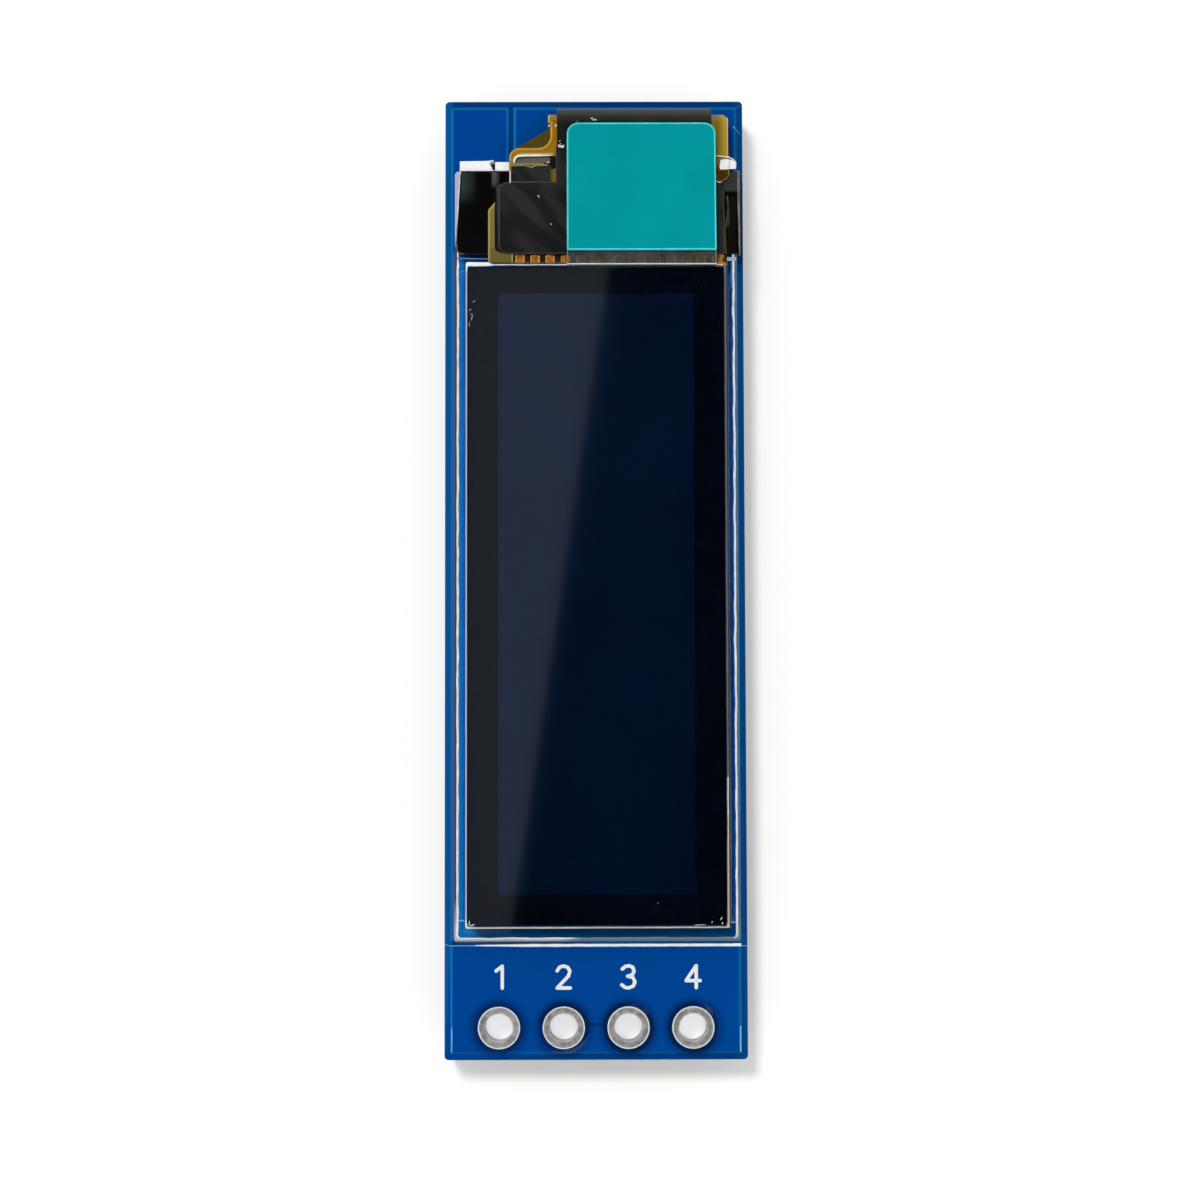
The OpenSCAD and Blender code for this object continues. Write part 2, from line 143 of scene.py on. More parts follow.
# links the colour, and a relief whose depth is in mm
def dress(tree, shader, tint, relief=None, depth=0.0):
    tree.links.new(tint, shader.inputs["Base Color"])
    if depth:
        made = addNode(tree, "ShaderNodeBump", links={
            "Height": relief, "Distance": depth * mm, "Strength": 1.0})
        tree.links.new(made.outputs[0], shader.inputs["Normal"])


# lamps pass through a clear piece without a hard shadow
def letLampsThrough(tree, shader):
    path = addNode(tree, "ShaderNodeLightPath")
    clear = addNode(tree, "ShaderNodeBsdfTransparent")
    mixed = addNode(tree, "ShaderNodeMixShader", links={
        0: path.outputs["Is Shadow Ray"], 1: shader.outputs[0], 2: clear})
    tree.links.new(mixed.outputs[0], tree.nodes["Material Output"].inputs[0])


def newPiece(name, mesh, materials=()):
    piece = bpy.data.objects.new(name, mesh)
    bpy.context.scene.collection.objects.link(piece)
    for material in materials:
        mesh.materials.append(material)
    return piece


# a bmesh drawn in millimetres becomes a piece
def pieceFrom(bm, name, materials, sharpAngle=32):
    bmesh.ops.scale(bm, vec=(mm, mm, mm), verts=bm.verts)
    mesh = bpy.data.meshes.new(name)
    bm.to_mesh(mesh)
    bm.free()
    mesh.shade_smooth()
    mesh.set_sharp_from_angle(angle=radians(sharpAngle))
    return newPiece(name, mesh, materials)


# modifiers and curves are worked out into a plain mesh
def madePlain(piece, sharpAngle=32):
    evaluated = piece.evaluated_get(bpy.context.evaluated_depsgraph_get())
    mesh = bpy.data.meshes.new_from_object(evaluated)
    name = piece.name
    bpy.data.objects.remove(piece)
    if sharpAngle:
        mesh.shade_smooth()
        mesh.set_sharp_from_angle(angle=radians(sharpAngle))
    piece = newPiece(name, mesh)
    piece.name = name
    return piece


def settle(piece, slotName, *replaced):
    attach(piece, "root")
    if replaced:
        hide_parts(*replaced)
    return piece


def boxOf(name):
    low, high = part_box(name)
    return Vector(low) / mm, Vector(high) / mm


# a merged copy of a CAD node's mesh, in millimetres
def copyOf(name):
    bm = bmesh.new()
    bm.from_mesh(nodes[name].data)
    bmesh.ops.scale(bm, vec=(1 / mm,) * 3, verts=bm.verts)
    bmesh.ops.remove_doubles(bm, verts=bm.verts, dist=0.0005)
    bmesh.ops.dissolve_limit(bm, angle_limit=radians(0.5), verts=bm.verts, edges=bm.edges)
    return bm


# rounded edges whose neighbouring flats keep their own shading
def bevelled(piece, width, segments=2, method="ANGLE"):
    made = piece.modifiers.new("round", "BEVEL")
    made.width = width * mm
    made.segments = segments
    made.limit_method = method
    made.angle_limit = radians(35)
    made.use_clamp_overlap = True
    made.face_strength_mode = "FSTR_NEW"
    flats = piece.modifiers.new("flats", "WEIGHTED_NORMAL")
    flats.weight = 100
    flats.keep_sharp = True
    flats.use_face_influence = True
    return madePlain(piece, None)


# the outlines of a node's top face, outermost first, each run anticlockwise
def topLoops(name):
    bm = bmesh.new()
    bm.from_mesh(nodes[name].data)
    bmesh.ops.scale(bm, vec=(1 / mm,) * 3, verts=bm.verts)
    bmesh.ops.remove_doubles(bm, verts=bm.verts, dist=0.0005)
    upward = [f for f in bm.faces if f.normal.z > 0.9]
    highest = max(f.calc_center_median().z for f in upward)
    top = {f for f in upward if f.calc_center_median().z > highest - 0.005}
    rim = {e for f in top for e in f.edges if len([g for g in e.link_faces if g in top]) == 1}
    loops = []
    while rim:
        edge = rim.pop()
        start, here = edge.verts
        loop = [start, here]
        while here != start:
            edge = next(e for e in here.link_edges if e in rim)
            rim.remove(edge)
            here = edge.other_vert(here)
            loop.append(here)
        points = [(v.co.x, v.co.y) for v in loop[:-1]]
        area = sum(a[0] * b[1] - b[0] * a[1] for a, b in zip(points, points[1:] + points[:1]))
        loops.append((abs(area), points if area > 0 else points[::-1]))
    bm.free()
    return [points for area, points in sorted(loops, reverse=True)]


# a thin sheet over one or more outlines; material 1 is a rim of the given width, height lifts
# its top by a rule, and it is cut along Y wherever the rule bends it
def sheetPiece(name, loops, top, thickness, materials, rim=0.0, height=None, slices=(),
               slicesX=()):
    bm = bmesh.new()
    if len(loops) == 1:
        bm.faces.new([bm.verts.new((x, y, 0)) for x, y in loops[0]])
    else:
        edges = []
        for loop in loops:
            ring = [bm.verts.new((x, y, 0)) for x, y in loop]
            edges += [bm.edges.new((ring[i - 1], ring[i])) for i in range(len(ring))]
        bmesh.ops.triangle_fill(bm, edges=edges, use_beauty=True, normal=(0, 0, 1))
    if rim:
        bm.normal_update()
        made = bmesh.ops.inset_region(bm, faces=bm.faces[:], thickness=rim, use_even_offset=True,
                                       use_boundary=True)
        for face in made["faces"]:
            face.material_index = 1
    for axis, cuts in (((1, 0, 0), slicesX), ((0, 1, 0), slices)):
        for place in cuts:
            bmesh.ops.bisect_plane(bm, geom=bm.verts[:] + bm.edges[:] + bm.faces[:],
                                   plane_co=Vector(axis) * place, plane_no=axis)
    for v in bm.verts:
        v.co.z = top + (height(v.co.x, v.co.y) if height else 0)
    bmesh.ops.recalc_face_normals(bm, faces=bm.faces)
    if sum(f.normal.z * f.calc_area() for f in bm.faces) < 0:
        bmesh.ops.reverse_faces(bm, faces=bm.faces)
    piece = pieceFrom(bm, name, materials)
    made = piece.modifiers.new("thickness", "SOLIDIFY")
    made.thickness = thickness * mm
    made.offset = -1
    return madePlain(piece)


def roundedOutline(x0, y0, x1, y1, radius, step=None, turnSteps=5):
    corners = [(x0, y0, 1, 1, pi), (x1, y0, -1, 1, 1.5 * pi),
               (x1, y1, -1, -1, 0), (x0, y1, 1, -1, 0.5 * pi)]
    points = []
    for x, y, inX, inY, start in corners:
        cx, cy = x + inX * radius, y + inY * radius
        for i in range(turnSteps + 1):
            angle = start + i / turnSteps * pi / 2
            points.append((cx + radius * cos(angle), cy + radius * sin(angle)))
    if not step:
        return points
    filled = []
    for a, b in zip(points, points[1:] + points[:1]):
        parts = max(1, round((Vector(b) - Vector(a)).length / step))
        filled += [tuple(Vector(a).lerp(Vector(b), i / parts)) for i in range(parts)]
    return filled


# closed solid through rings of equal length, from the lowest to the highest
def loft(name, rings, materials, ringMaterials):
    bm = bmesh.new()
    rows = [[bm.verts.new(p) for p in ring] for ring in rings]
    count = len(rows[0])
    bm.faces.new(rows[0][::-1])
    bm.faces.new(rows[-1])
    for lower, upper, index in zip(rows, rows[1:], ringMaterials):
        for i in range(count):
            j = (i + 1) % count
            face = bm.faces.new((lower[i], lower[j], upper[j], upper[i]))
            face.material_index = index
    piece = pieceFrom(bm, name, materials, 20)
    # the two flat ends keep their own shading
    mesh = piece.data
    for face in mesh.polygons:
        if face.loop_total == count:
            for loop in face.loop_indices:
                mesh.edges[mesh.loops[loop].edge_index].use_edge_sharp = True
    return piece


def newTree(name, inputs):
    tree = bpy.data.node_groups.new(name, "GeometryNodeTree")
    for label, kind in inputs.items():
        tree.interface.new_socket(label, in_out="INPUT", socket_type=kind)
    tree.interface.new_socket("Geometry", in_out="OUTPUT", socket_type="NodeSocketGeometry")
    return tree, addNode(tree, "NodeGroupInput").outputs


def closeTree(tree, geometry, material=None):
    whole = addNode(tree, "GeometryNodeRealizeInstances", links={0: geometry})
    if material:
        whole = addNode(tree, "GeometryNodeSetMaterial", links={0: whole, "Material": material})
    addNode(tree, "NodeGroupOutput", links={0: whole})


def runTree(tree, name, values, bevel=None):
    piece = newPiece(name, bpy.data.meshes.new(name))
    made = piece.modifiers.new("build", "NODES")
    made.node_group = tree
    for item in tree.interface.items_tree:
        if item.in_out == "INPUT" and item.name in values:
            made[item.identifier] = values[item.name]
    if bevel:
        return bevelled(piece, bevel)
    return madePlain(piece)


holePlaces = [(boxOf(f"barrel_plating_{i}")[0] + boxOf(f"barrel_plating_{i}")[1]) / 2
              for i in range(1, 5)]


# distance in mm, seen from above, to the nearest plated hole
def holeDistance(tree, place):
    flat = addNode(tree, "ShaderNodeVectorMath", {"operation": "MULTIPLY"},
                   {0: place, 1: (1, 1, 0)})
    nearest = None
    for hole in holePlaces:
        away = addNode(tree, "ShaderNodeVectorMath", {"operation": "DISTANCE"},
                       {0: flat, 1: (hole.x, hole.y, 0)}).outputs["Value"]
        nearest = away if nearest is None else addNode(
            tree, "ShaderNodeMath", {"operation": "MINIMUM"}, {0: nearest, 1: away})
    return nearest


# liquid photo-imageable solder mask over copper, screened and cured: a glossy deep blue coat,
# lighter where it runs thin, darker where it pools; areas are (x0, y0, x1, y1) in mm, mostly
# painted highlights and painted shade
def solderMask(name, tone, shade, areas, topAreas=()):
    material, tree, shader = newMaterial(name, {
        "Roughness": 0.16, "IOR": 1.5, "Specular IOR Level": 0.4})
    place, x, y, z = millimetres(tree)
    tint = toned(tree, blotches(tree, place, 2.4, 4), 0.3, 0.7, linear(shade), linear(tone))
    tint = painted(tree, tint, x, y, areas)
    onTop = addNode(tree, "ShaderNodeMapRange", links={0: z, 1: 1.6, 2: 1.8})
    tint = painted(tree, tint, x, y, topAreas, onTop)
    # it pools darkest beside the hole rings
    deeper = toned(tree, holeDistance(tree, place), 0.8, 1.3, (0.1, 0.22, 0.32, 1), (1, 1, 1, 1))
    tint = addNode(tree, "ShaderNodeMix", {"data_type": "RGBA", "blend_type": "MULTIPLY"},
                   {0: 1.0, mixA: tint, mixB: deeper}).outputs[mixResult]
    # glass cloth shows faintly through the coat
    weave = addNode(tree, "ShaderNodeTexWave", {"bands_direction": "DIAGONAL"},
                    {"Vector": place, "Scale": 0.7, "Distortion": 1.5})
    ripple = addNode(tree, "ShaderNodeMath", {"operation": "ADD"},
                     {0: weave.outputs["Fac"], 1: blotches(tree, place, 0.25, 2)})
    dress(tree, shader, tint, ripple, 0.0015)
    return material


# over the copper: pale lines along the copper's edges at both sides, the bottom, the top and beside
# the gap near x -3.3 are painted highlights; beside the glass's left edge lie a purple-grey line, a
# dark painted shadow line and a lighter strip of painted light, and under its bottom edge a black
# painted shadow line and a lighter band of painted light
maskOverCopper = solderMask(
    "solderMaskOverCopper", "#00479a", "#004493",
    (((-5.7, -18.8, -5.65, 18.8), 0.04, "#0a70c0"), ((5.62, -18.8, 5.68, 18.8), 0.06, "#0a5f9e"),
     ((-5.7, -18.8, 5.7, -18.75), 0.05, "#04528f")),
    (((-5.61, -14.3, -5.57, 12.9), 0.02, "#5a5c88"), ((-5.53, -14.4, -5.48, 12.9), 0.02, "#12203a"),
     ((-5.37, -14.3, -5.24, 12.7), 0.06, "#0064ac"), ((-4.9, -14.53, 5.6, -14.5), 0.02, "#00060c"),
     ((-5.7, 18.72, -3.4, 18.8), 0.05, "#0a62a6"), ((-3.2, 18.72, 5.7, 18.8), 0.05, "#0a62a6"),
     ((-3.47, 15.0, -3.43, 18.8), 0.05, "#0a6cba"), ((-3.21, 15.0, -3.15, 18.8), 0.06, "#0c72c2"),
     ((-5.2, -14.2, 5.3, -13.6), 0.1, "#0b5d9c")))
# over the bare margin: the left edge is painted lighter, a painted highlight on the side the light
# comes from, and the right edge a little lighter than the rest
maskOverLaminate = solderMask(
    "solderMaskOverLaminate", "#01407f", "#003a76",
    (((-6.0, -19.1, -5.68, 19.1), 0.02, "#06599b"), ((5.6, -19.1, 6.0, 19.1), 0.05, "#04457f")))
# the copper's edge step: lighter where the mask runs thin over the edge, and a painted highlight
# along these ridges
maskAtEdge = solderMask("solderMaskAtCopperEdge", "#0864ae", "#055aa0", ())


# FR4, pressed glass cloth and epoxy, routed: pale olive edge with fine layers
def makeLaminate():
    material, tree, shader = newMaterial("routedGlassEpoxyLaminate", {
        "Roughness": 0.6, "IOR": 1.55})
    place = millimetres(tree)[0]
    layers = blotches(tree, place, 0.13, 3, (0.08, 0.08, 1))
    fibres = blotches(tree, place, 0.06, 2, (0.3, 0.3, 1))
    tint = toned(tree, layers, 0.3, 0.7, linear("#a39a6c"), linear("#c4bb90"))
    tint = toned(tree, fibres, 0.6, 0.75, tint, linear("#ddd6b8"), 0.4)
    dress(tree, shader, tint, fibres, 0.012)
    return material


laminate = makeLaminate()


# tin-lead levelled pads: soft satin silver, uneven where the hot air left it
def makeTin(name, tone, roughness, metallic=1.0):
    material, tree, shader = newMaterial(name, {"Metallic": metallic, "Roughness": roughness})
    pools = blotches(tree, millimetres(tree)[0], 0.22, 3)
    tint = toned(tree, pools, 0.3, 0.75, linear(tone), linear("#dddcd9"))
    dulled = addNode(tree, "ShaderNodeMapRange", links={
        0: pools, 1: 0.3, 2: 0.7, 3: roughness - 0.08, 4: roughness + 0.1})
    tree.links.new(dulled.outputs[0], shader.inputs["Roughness"])
    dress(tree, shader, tint, pools, 0.006)
    return material


tinned = makeTin("hotAirLevelledTin", "#a9a5a3", 0.5, 0.7)
# the ring's thin outer edge and the wall of the hole: a paler, barely metallic copy of the tin, a
# painted highlight
tinPaintedHighlight = makeTin("scatteringTinEdge", "#f0f2f4", 0.5, 0.1)
# reflowed joints: brighter and smoother than the pads
solder = makeTin("reflowedSolder", "#cfd0d1", 0.42, 0.55)


# clear and glossy: what lies under it shows sharply, and the lamps reach it
def makeClear(name, tone, roughness, bending):
    material, tree, shader = newMaterial(name, {
        "Base Color": linear(tone), "Roughness": roughness, "IOR": bending,
        "Transmission Weight": 1.0})
    letLampsThrough(tree, shader)
    return material


# soda-lime display glass, float polished: a mirror-smooth face with the least trace of green
clearGlass = makeClear("polishedDisplayGlass", "#f4faf7", 0.01, 1.52)
# PET film, drawn thin: a slightly softer gloss than the glass
clearFilm = makeClear("clearPetFilm", "#fbfcfc", 0.03, 1.5)


# iodine-stained polarizing sheet: near black; the lit area under it reads as a deep blue field
def makePolarizer(windowLow, windowHigh):
    material, tree, shader = newMaterial("stainedPolarizingSheet", {
        "IOR": 1.9, "Roughness": 0.05, "Specular IOR Level": 1.0})
    place, x, y = millimetres(tree)[:3]
    inside = patch(tree, x, y, (windowLow.x, windowLow.y, windowHigh.x, windowHigh.y), 0.03)
    haze = blotches(tree, place, 3.5, 2)
    border = toned(tree, haze, 0.3, 0.7, linear("#000207"), linear("#01040a"))
    field = toned(tree, haze, 0.3, 0.7, linear("#010717"), linear("#01091b"))
    # the emitting layer's metal back mirrors more light, and bluer, than the bare border
    for socket, outer, inner in (("Base Color", border, field),
                                 ("Specular Tint", (0.11, 0.15, 0.27, 1), (0.29, 0.45, 1, 1))):
        chosen = addNode(tree, "ShaderNodeMix", {"data_type": "RGBA"},
                         {0: inside, mixA: outer, mixB: inner})
        tree.links.new(chosen.outputs[mixResult], shader.inputs[socket])
    return material


# a soft clouding of two tones; areas (x0, y0, x1, y1) in mm take colours of their own, and what
# lies below a level takes two others, a painted shade, the first on the right and the second on the
# left
def patchedMaterial(name, tone, shade, size, surface, areas, depth=0.0, shadedBelow=None):
    material, tree, shader = newMaterial(name, surface)
    place, x, y, z = millimetres(tree)
    tint = toned(tree, blotches(tree, place, size, 4), 0.32, 0.68, linear(shade), linear(tone))
    tint = painted(tree, tint, x, y, areas)
    if shadedBelow:
        level, near, far = shadedBelow
        below = toned(tree, x, -3.2, -2.2, linear(far), linear(near))
        tint = toned(tree, z, level + 0.05, level, tint, below)
    relief = blotches(tree, place, size / 4, 3) if depth else None
    dress(tree, shader, tint, relief, depth)
    return material


def plainMaterial(name, tone, shade, size, surface, depth=0.0):
    return patchedMaterial(name, tone, shade, size, surface, (), depth)


# PET film, knife cut: the edge is painted as a soft grey line, a painted highlight
filmEdge = plainMaterial("cutPetFilmEdge", "#aaa9a4", "#7d7c78", 0.6,
                         {"Roughness": 0.3, "IOR": 1.5, "Transmission Weight": 0.35})
# teal release film, calendered: an even colour with a soft sheen; its cut edge is painted brighter,
# a painted highlight
tealFilm = plainMaterial("calenderedTealFilm", "#00979f", "#009299", 2.2,
                         {"Roughness": 0.45, "IOR": 1.5, "Specular IOR Level": 0.05}, 0.0008)
tealEdgeHighlight = plainMaterial("cutTealFilmEdge", "#4fe2e4", "#35cfd2", 0.8,
                         {"Roughness": 0.4, "IOR": 1.5})


# black polyester tape, satin, pressed down in slanting strokes that left darker streaks
def makeBlackTape(name, tone, shade, top=None):
    material, tree, shader = newMaterial(name, {
        "Roughness": 0.4, "IOR": 1.5, "Specular IOR Level": 0.3})
    place, *axes = millimetres(tree)
    streaks = blotches(tree, place, 0.75, 1, (0.22, 1.0, 1), radians(45))
    tint = toned(tree, streaks, 0.42, 0.54, linear(shade), linear(tone))
    if top:
        greyerTone, low, high = top
        tint = toned(tree, axes[1], low, high, tint, linear(greyerTone))
    dress(tree, shader, tint, blotches(tree, place, 0.2, 3), 0.0015)
    return material


# the strips over the cable; the one round the fold turns greyer towards its top
blackTape = makeBlackTape("satinPolyesterTape", "#292929", "#181818")
foldTapeFinish = makeBlackTape("fadedPolyesterTape", "#1f1f1e", "#151515",
                               ("#323531", 17.95, 18.4))
# slit edge of the tape: a thin paler rim, a painted highlight, and nearly black glue pressed out at
# its sides
tapeRimHighlight = plainMaterial("tapeCutEdge", "#4c4c4c", "#323232", 0.6,
                        {"Roughness": 0.4, "IOR": 1.5, "Specular IOR Level": 0.3})
tapeGlue = plainMaterial("pressedOutTapeGlue", "#0c0c0d", "#141414", 0.5,
                         {"Roughness": 0.3, "IOR": 1.5})


# glossy black film on the glass ledge; its areas are painted light: a greenish painted reflection
# at its upper left, a grey painted highlight near x -3.9, and painted reflections and painted shade
# about the crease at its right end
ledgeBlack = patchedMaterial(
    "glossyBlackFilm", "#0a0b0a", "#060706", 1.6, {"Roughness": 0.14, "IOR": 1.5},
    (((-5.6, 15.4, -5.35, 16.4), 0.7, "#33433f"), ((-3.98, 15.5, -3.86, 16.2), 0.12, "#3f3f42"),
     ((4.8, 12.7, 5.12, 16.2), 0.12, "#2b2a26"), ((5.2, 15.3, 5.7, 16.0), 0.12, "#363936"),
     ((5.33, 12.7, 5.6, 15.0), 0.08, "#13120e")), 0.003)
# cut edge of that film: black, with a pale painted highlight along its right end and a brownish
# painted highlight at its lower left corner
ledgeRim = patchedMaterial(
    "cutBlackFilmEdge", "#1b1b1a", "#0e0e0e", 0.5, {"Roughness": 0.3, "IOR": 1.5},
    (((5.6, 13.1, 6.0, 16.2), 0.05, "#7f7b76"), ((-5.6, 12.6, -5.2, 13.1), 0.05, "#5a5148")))
# the panel's glass where it was scribed, broken and ground: a frosted slope, then a bright lip; on
# the slope a pale wedge at the upper left is a painted highlight and a dark line along the bottom
# edge is painted shadow
groundGlass = patchedMaterial(
    "groundGlassSlope", "#4b6a84", "#3b5870", 0.3, {"Roughness": 0.3, "IOR": 1.52},
    (((-5.5, -14.5, -1.6, -14.1), 1.2, "#b4b0a9"), ((-0.4, -14.5, 6.0, -14.1), 0.8, "#5c6f7d"),
     ((-5.6, 13.5, -5.2, 16.2), 0.5, "#a9afc2"), ((-5.6, -12.8, -5.4, 13.0), 0.06, "#1d2d48"),
     ((-5.5, -14.5, 5.6, -14.4), 0.03, "#2c3a42")), 0.006)
# the lip is white partly from the grinding and partly as a painted highlight; it is painted darker
# along the right side and the bottom right, away from the light
glassLip = patchedMaterial(
    "chippedGlassLip", "#ffffff", "#d5e0e8", 0.5, {"Roughness": 0.3, "IOR": 1.52},
    (((-5.2, 12.0, -4.15, 12.4), 0.03, "#ffffff"), ((5.1, -14.0, 5.22, -9.5), 0.05, "#d9d2c0"),
     ((-0.6, -14.5, 5.3, -14.2), 0.4, "#6d8796"), ((5.1, -8.0, 5.22, 12.4), 0.05, "#68758f"),
     ((-5.2, -13.5, -5.0, 11.9), 0.03, "#c3c8d6")), 0.006)
for glassEdge in (groundGlass, glassLip):
    letLampsThrough(glassEdge.node_tree, glassEdge.node_tree.nodes["Principled BSDF"])
# amber polyimide over copper; khaki where it thins out on the glass, dark over the black film; its
# right tab is painted lighter towards its right edge, a painted highlight, and its rear layer
# darker, a painted shade
polyimide = patchedMaterial(
    "polyimideCoverlay", "#9f7518", "#8e6714", 1.1,
    {"Roughness": 0.3, "IOR": 1.6, "Specular IOR Level": 0.25},
    (((-4.4, 12.2, -3.1, 15.4), 0.1, "#80703c"), ((-4.4, 12.2, 5.4, 12.95), 0.05, "#73662f"),
     ((4.55, 16.5, 5.05, 18.6), 0.35, "#7a661f"), ((5.2, 16.5, 5.5, 18.6), 0.25, "#ab8f36"),
     ((4.5, 12.6, 5.6, 16.2), 0.05, "#14110c"), ((-1.78, 15.6, -1.55, 16.2), 0.05, "#75601a"),
     ((-1.9, 16.2, -1.4, 16.62), 0.02, "#0d0c0b"), ((-1.46, 16.9, 4.7, 17.2), 0.02, "#161614")),
    0.002, (2.8, "#5d5018", "#454028"))
# the polyimide's rim has no copper behind it: a paler amber border; a bright painted highlight runs
# up the right edge of its right tab, and its rear layer is painted darker, a painted shade
polyimideRim = patchedMaterial(
    "barePolyimideRim", "#c9a046", "#b68d35", 0.7,
    {"Roughness": 0.28, "IOR": 1.6, "Specular IOR Level": 0.35},
    (((-4.4, 12.2, -3.1, 15.4), 0.1, "#a5975c"), ((4.55, 16.5, 5.3, 18.6), 0.1, "#8d7730"),
     ((5.3, 16.5, 5.5, 18.6), 0.03, "#d9bf60"), ((4.5, 12.6, 5.6, 16.2), 0.05, "#4b4325"),
     ((-3.4, 16.1, -1.9, 16.45), 0.02, "#8a8554"), ((-2.0, 16.15, -1.4, 16.64), 0.02, "#0d0c0b"),
     ((-1.46, 16.9, 4.7, 17.2), 0.02, "#161614")),
    0.0, (2.8, "#64561d", "#4a4530"))
# PET film, handled: a grey haze over what lies under it
hazedFilm = patchedMaterial(
    "hazedPetFilm", "#62655f", "#484a46", 0.45,
    {"Roughness": 0.35, "IOR": 1.5, "Alpha": 0.35, "Specular IOR Level": 0.3}, ())
# copper flashed with gold, hot pressed: uneven orange
copper = plainMaterial("goldFlashedCopper", "#f2a233", "#a9590c", 0.14,
                       {"Roughness": 0.24, "Metallic": 0.35}, 0.012)
# epoxy bonding film, squeezed out between the fingers: dark brown
bondFilm = plainMaterial("conductiveBondFilm", "#4a2c12", "#1c1710", 0.22,
                         {"Roughness": 0.35, "IOR": 1.55}, 0.003)
# closed-cell foam tape, slit: chalk white and matt
foamWhite = plainMaterial("closedCellFoamTape", "#ffffff", "#f7f7f6", 0.4,
                          {"Roughness": 0.75, "IOR": 1.45}, 0.01)
# clear epoxy, dispensed as a bead: grey and wet looking
resin = plainMaterial("clearBondResin", "#77716c", "#5a5552", 0.7,
                      {"Roughness": 0.12, "IOR": 1.5, "Coat Weight": 0.5})
# silicon die, ground and polished: a dark mirror
silicon = plainMaterial("polishedSilicon", "#4a4c50", "#3c3e42", 1.0,
                        {"Roughness": 0.15, "Metallic": 0.6})
# glass frit, fired between the sheets: dull blue-grey
sealant = plainMaterial("glassFritSeal", "#1b3344", "#122433", 0.5,
                        {"Roughness": 0.5, "IOR": 1.5})
# evaporated films of the lit area: deep blue
emitter = plainMaterial("evaporatedEmitterLayers", "#0d1638", "#0a112c", 1.0,
                        {"Roughness": 0.3, "IOR": 1.6})
# moulded epoxy: sooty with a fine matt grain
package = plainMaterial("mouldedEpoxyPackage", "#232324", "#19191a", 0.12,
                        {"Roughness": 0.62, "IOR": 1.55}, 0.006)
# fired capacitor ceramic: biscuit brown, faintly mottled
ceramic = plainMaterial("firedCapacitorCeramic", "#a97f55", "#8f6842", 0.3,
                        {"Roughness": 0.5, "IOR": 1.6}, 0.004)
# glaze over a resistor film: smooth black
resistorBlack = plainMaterial("glazedResistorFilm", "#1d1d1f", "#131315", 0.3,
                              {"Roughness": 0.3, "IOR": 1.5}, 0.002)
# epoxy ink, screened: chalky white, and blue showing through where it is thin; the pale one also
# makes the painted highlight strokes at the board's lower corners
inkWhite = plainMaterial("screenedWhiteInk", "#f6f8f8", "#e9eef0", 0.2,
                         {"Roughness": 0.5, "IOR": 1.5}, 0.004)
inkPaleAndGlint = plainMaterial("thinWhiteInk", "#8ec6e8", "#5b9fd2", 0.6,
                        {"Roughness": 0.5, "IOR": 1.5})
# polyimide creased at the foot: dark brown with an amber rim
footBrown = plainMaterial("creasedPolyimideFoot", "#553811", "#3b270c", 0.4,
                          {"Roughness": 0.25, "IOR": 1.6, "Specular IOR Level": 0.4}, 0.004)
polyimideFoot = plainMaterial("creasedPolyimideFootRim", "#c08f3c", "#6a4c1a", 0.35,
                              {"Roughness": 0.3, "IOR": 1.6})
# siliconised release paper: white with a soft shine and one brown fold line
linerWhite = patchedMaterial("siliconisedLinerPaper", "#ffffff", "#efeeea", 0.35,
                             {"Roughness": 0.5, "IOR": 1.48},
                             (((5.365, 16.0, 5.385, 16.6), 0.015, "#c5b184"),), 0.003)
# a pale blue line on the glass
paleBlueLine = plainMaterial("glassCoatingEdge", "#6f9fca", "#3f74ab", 0.5,
                            {"Roughness": 0.25, "IOR": 1.52})
# glass scored with a wheel: a short whitish scratch; the same grey makes a painted highlight at the
# glass's upper right corner
scribeAndHighlightGrey = plainMaterial("scribedGlassMark", "#c9d3da", "#8997a1", 0.2,
                           {"Roughness": 0.3, "IOR": 1.52}, 0.004)
# paper fibres and dust: dull off-white; the same off-white makes small painted highlights
dustAndHighlight = plainMaterial("fibreDust", "#f5f5f3", "#d8d6d0", 0.1, {"Roughness": 0.7, "IOR": 1.45})
# olive film, bent: a light edge, and a darker crease
oliveFilm = plainMaterial("bentOliveFilmEdge", "#999260", "#6d683f", 0.3,
                          {"Roughness": 0.3, "IOR": 1.55}, 0.003)
oliveDark = plainMaterial("creasedOliveFilm", "#6c6338", "#3f3a22", 0.3,
                          {"Roughness": 0.3, "IOR": 1.55})
# a quiet grey line, a painted highlight on a film edge
greyEdgeHighlight = plainMaterial("greyFilmEdge", "#8d8883", "#5f5a56", 0.5,
                         {"Roughness": 0.3, "IOR": 1.5})
# gilt fingers: small warm painted highlights on their ridges
copperHighlight = plainMaterial("wornFingerRidge", "#ffd070", "#d88a20", 0.1,
                             {"Roughness": 0.3, "Metallic": 0.3}, 0.006)
# a thin white line, a painted highlight on a film, resin or liner edge
edgeHighlightWhite = plainMaterial("brightFilmEdge", "#f4f4f2", "#d9d7d2", 0.3,
                           {"Roughness": 0.3, "IOR": 1.5})
print("materials made")


# in mm: rounding of the edges and of the copper's ridges, corner radius in the solid and here,
# height of the copper's step, and how near a hole the mask keeps the copper's colour
boardDetail = {"edgeRound": 0.035, "ridgeRound": 0.018, "drawnCorner": 0.3, "corner": 0.17,
               "copperStep": 0.04, "holeReach": 1.5}


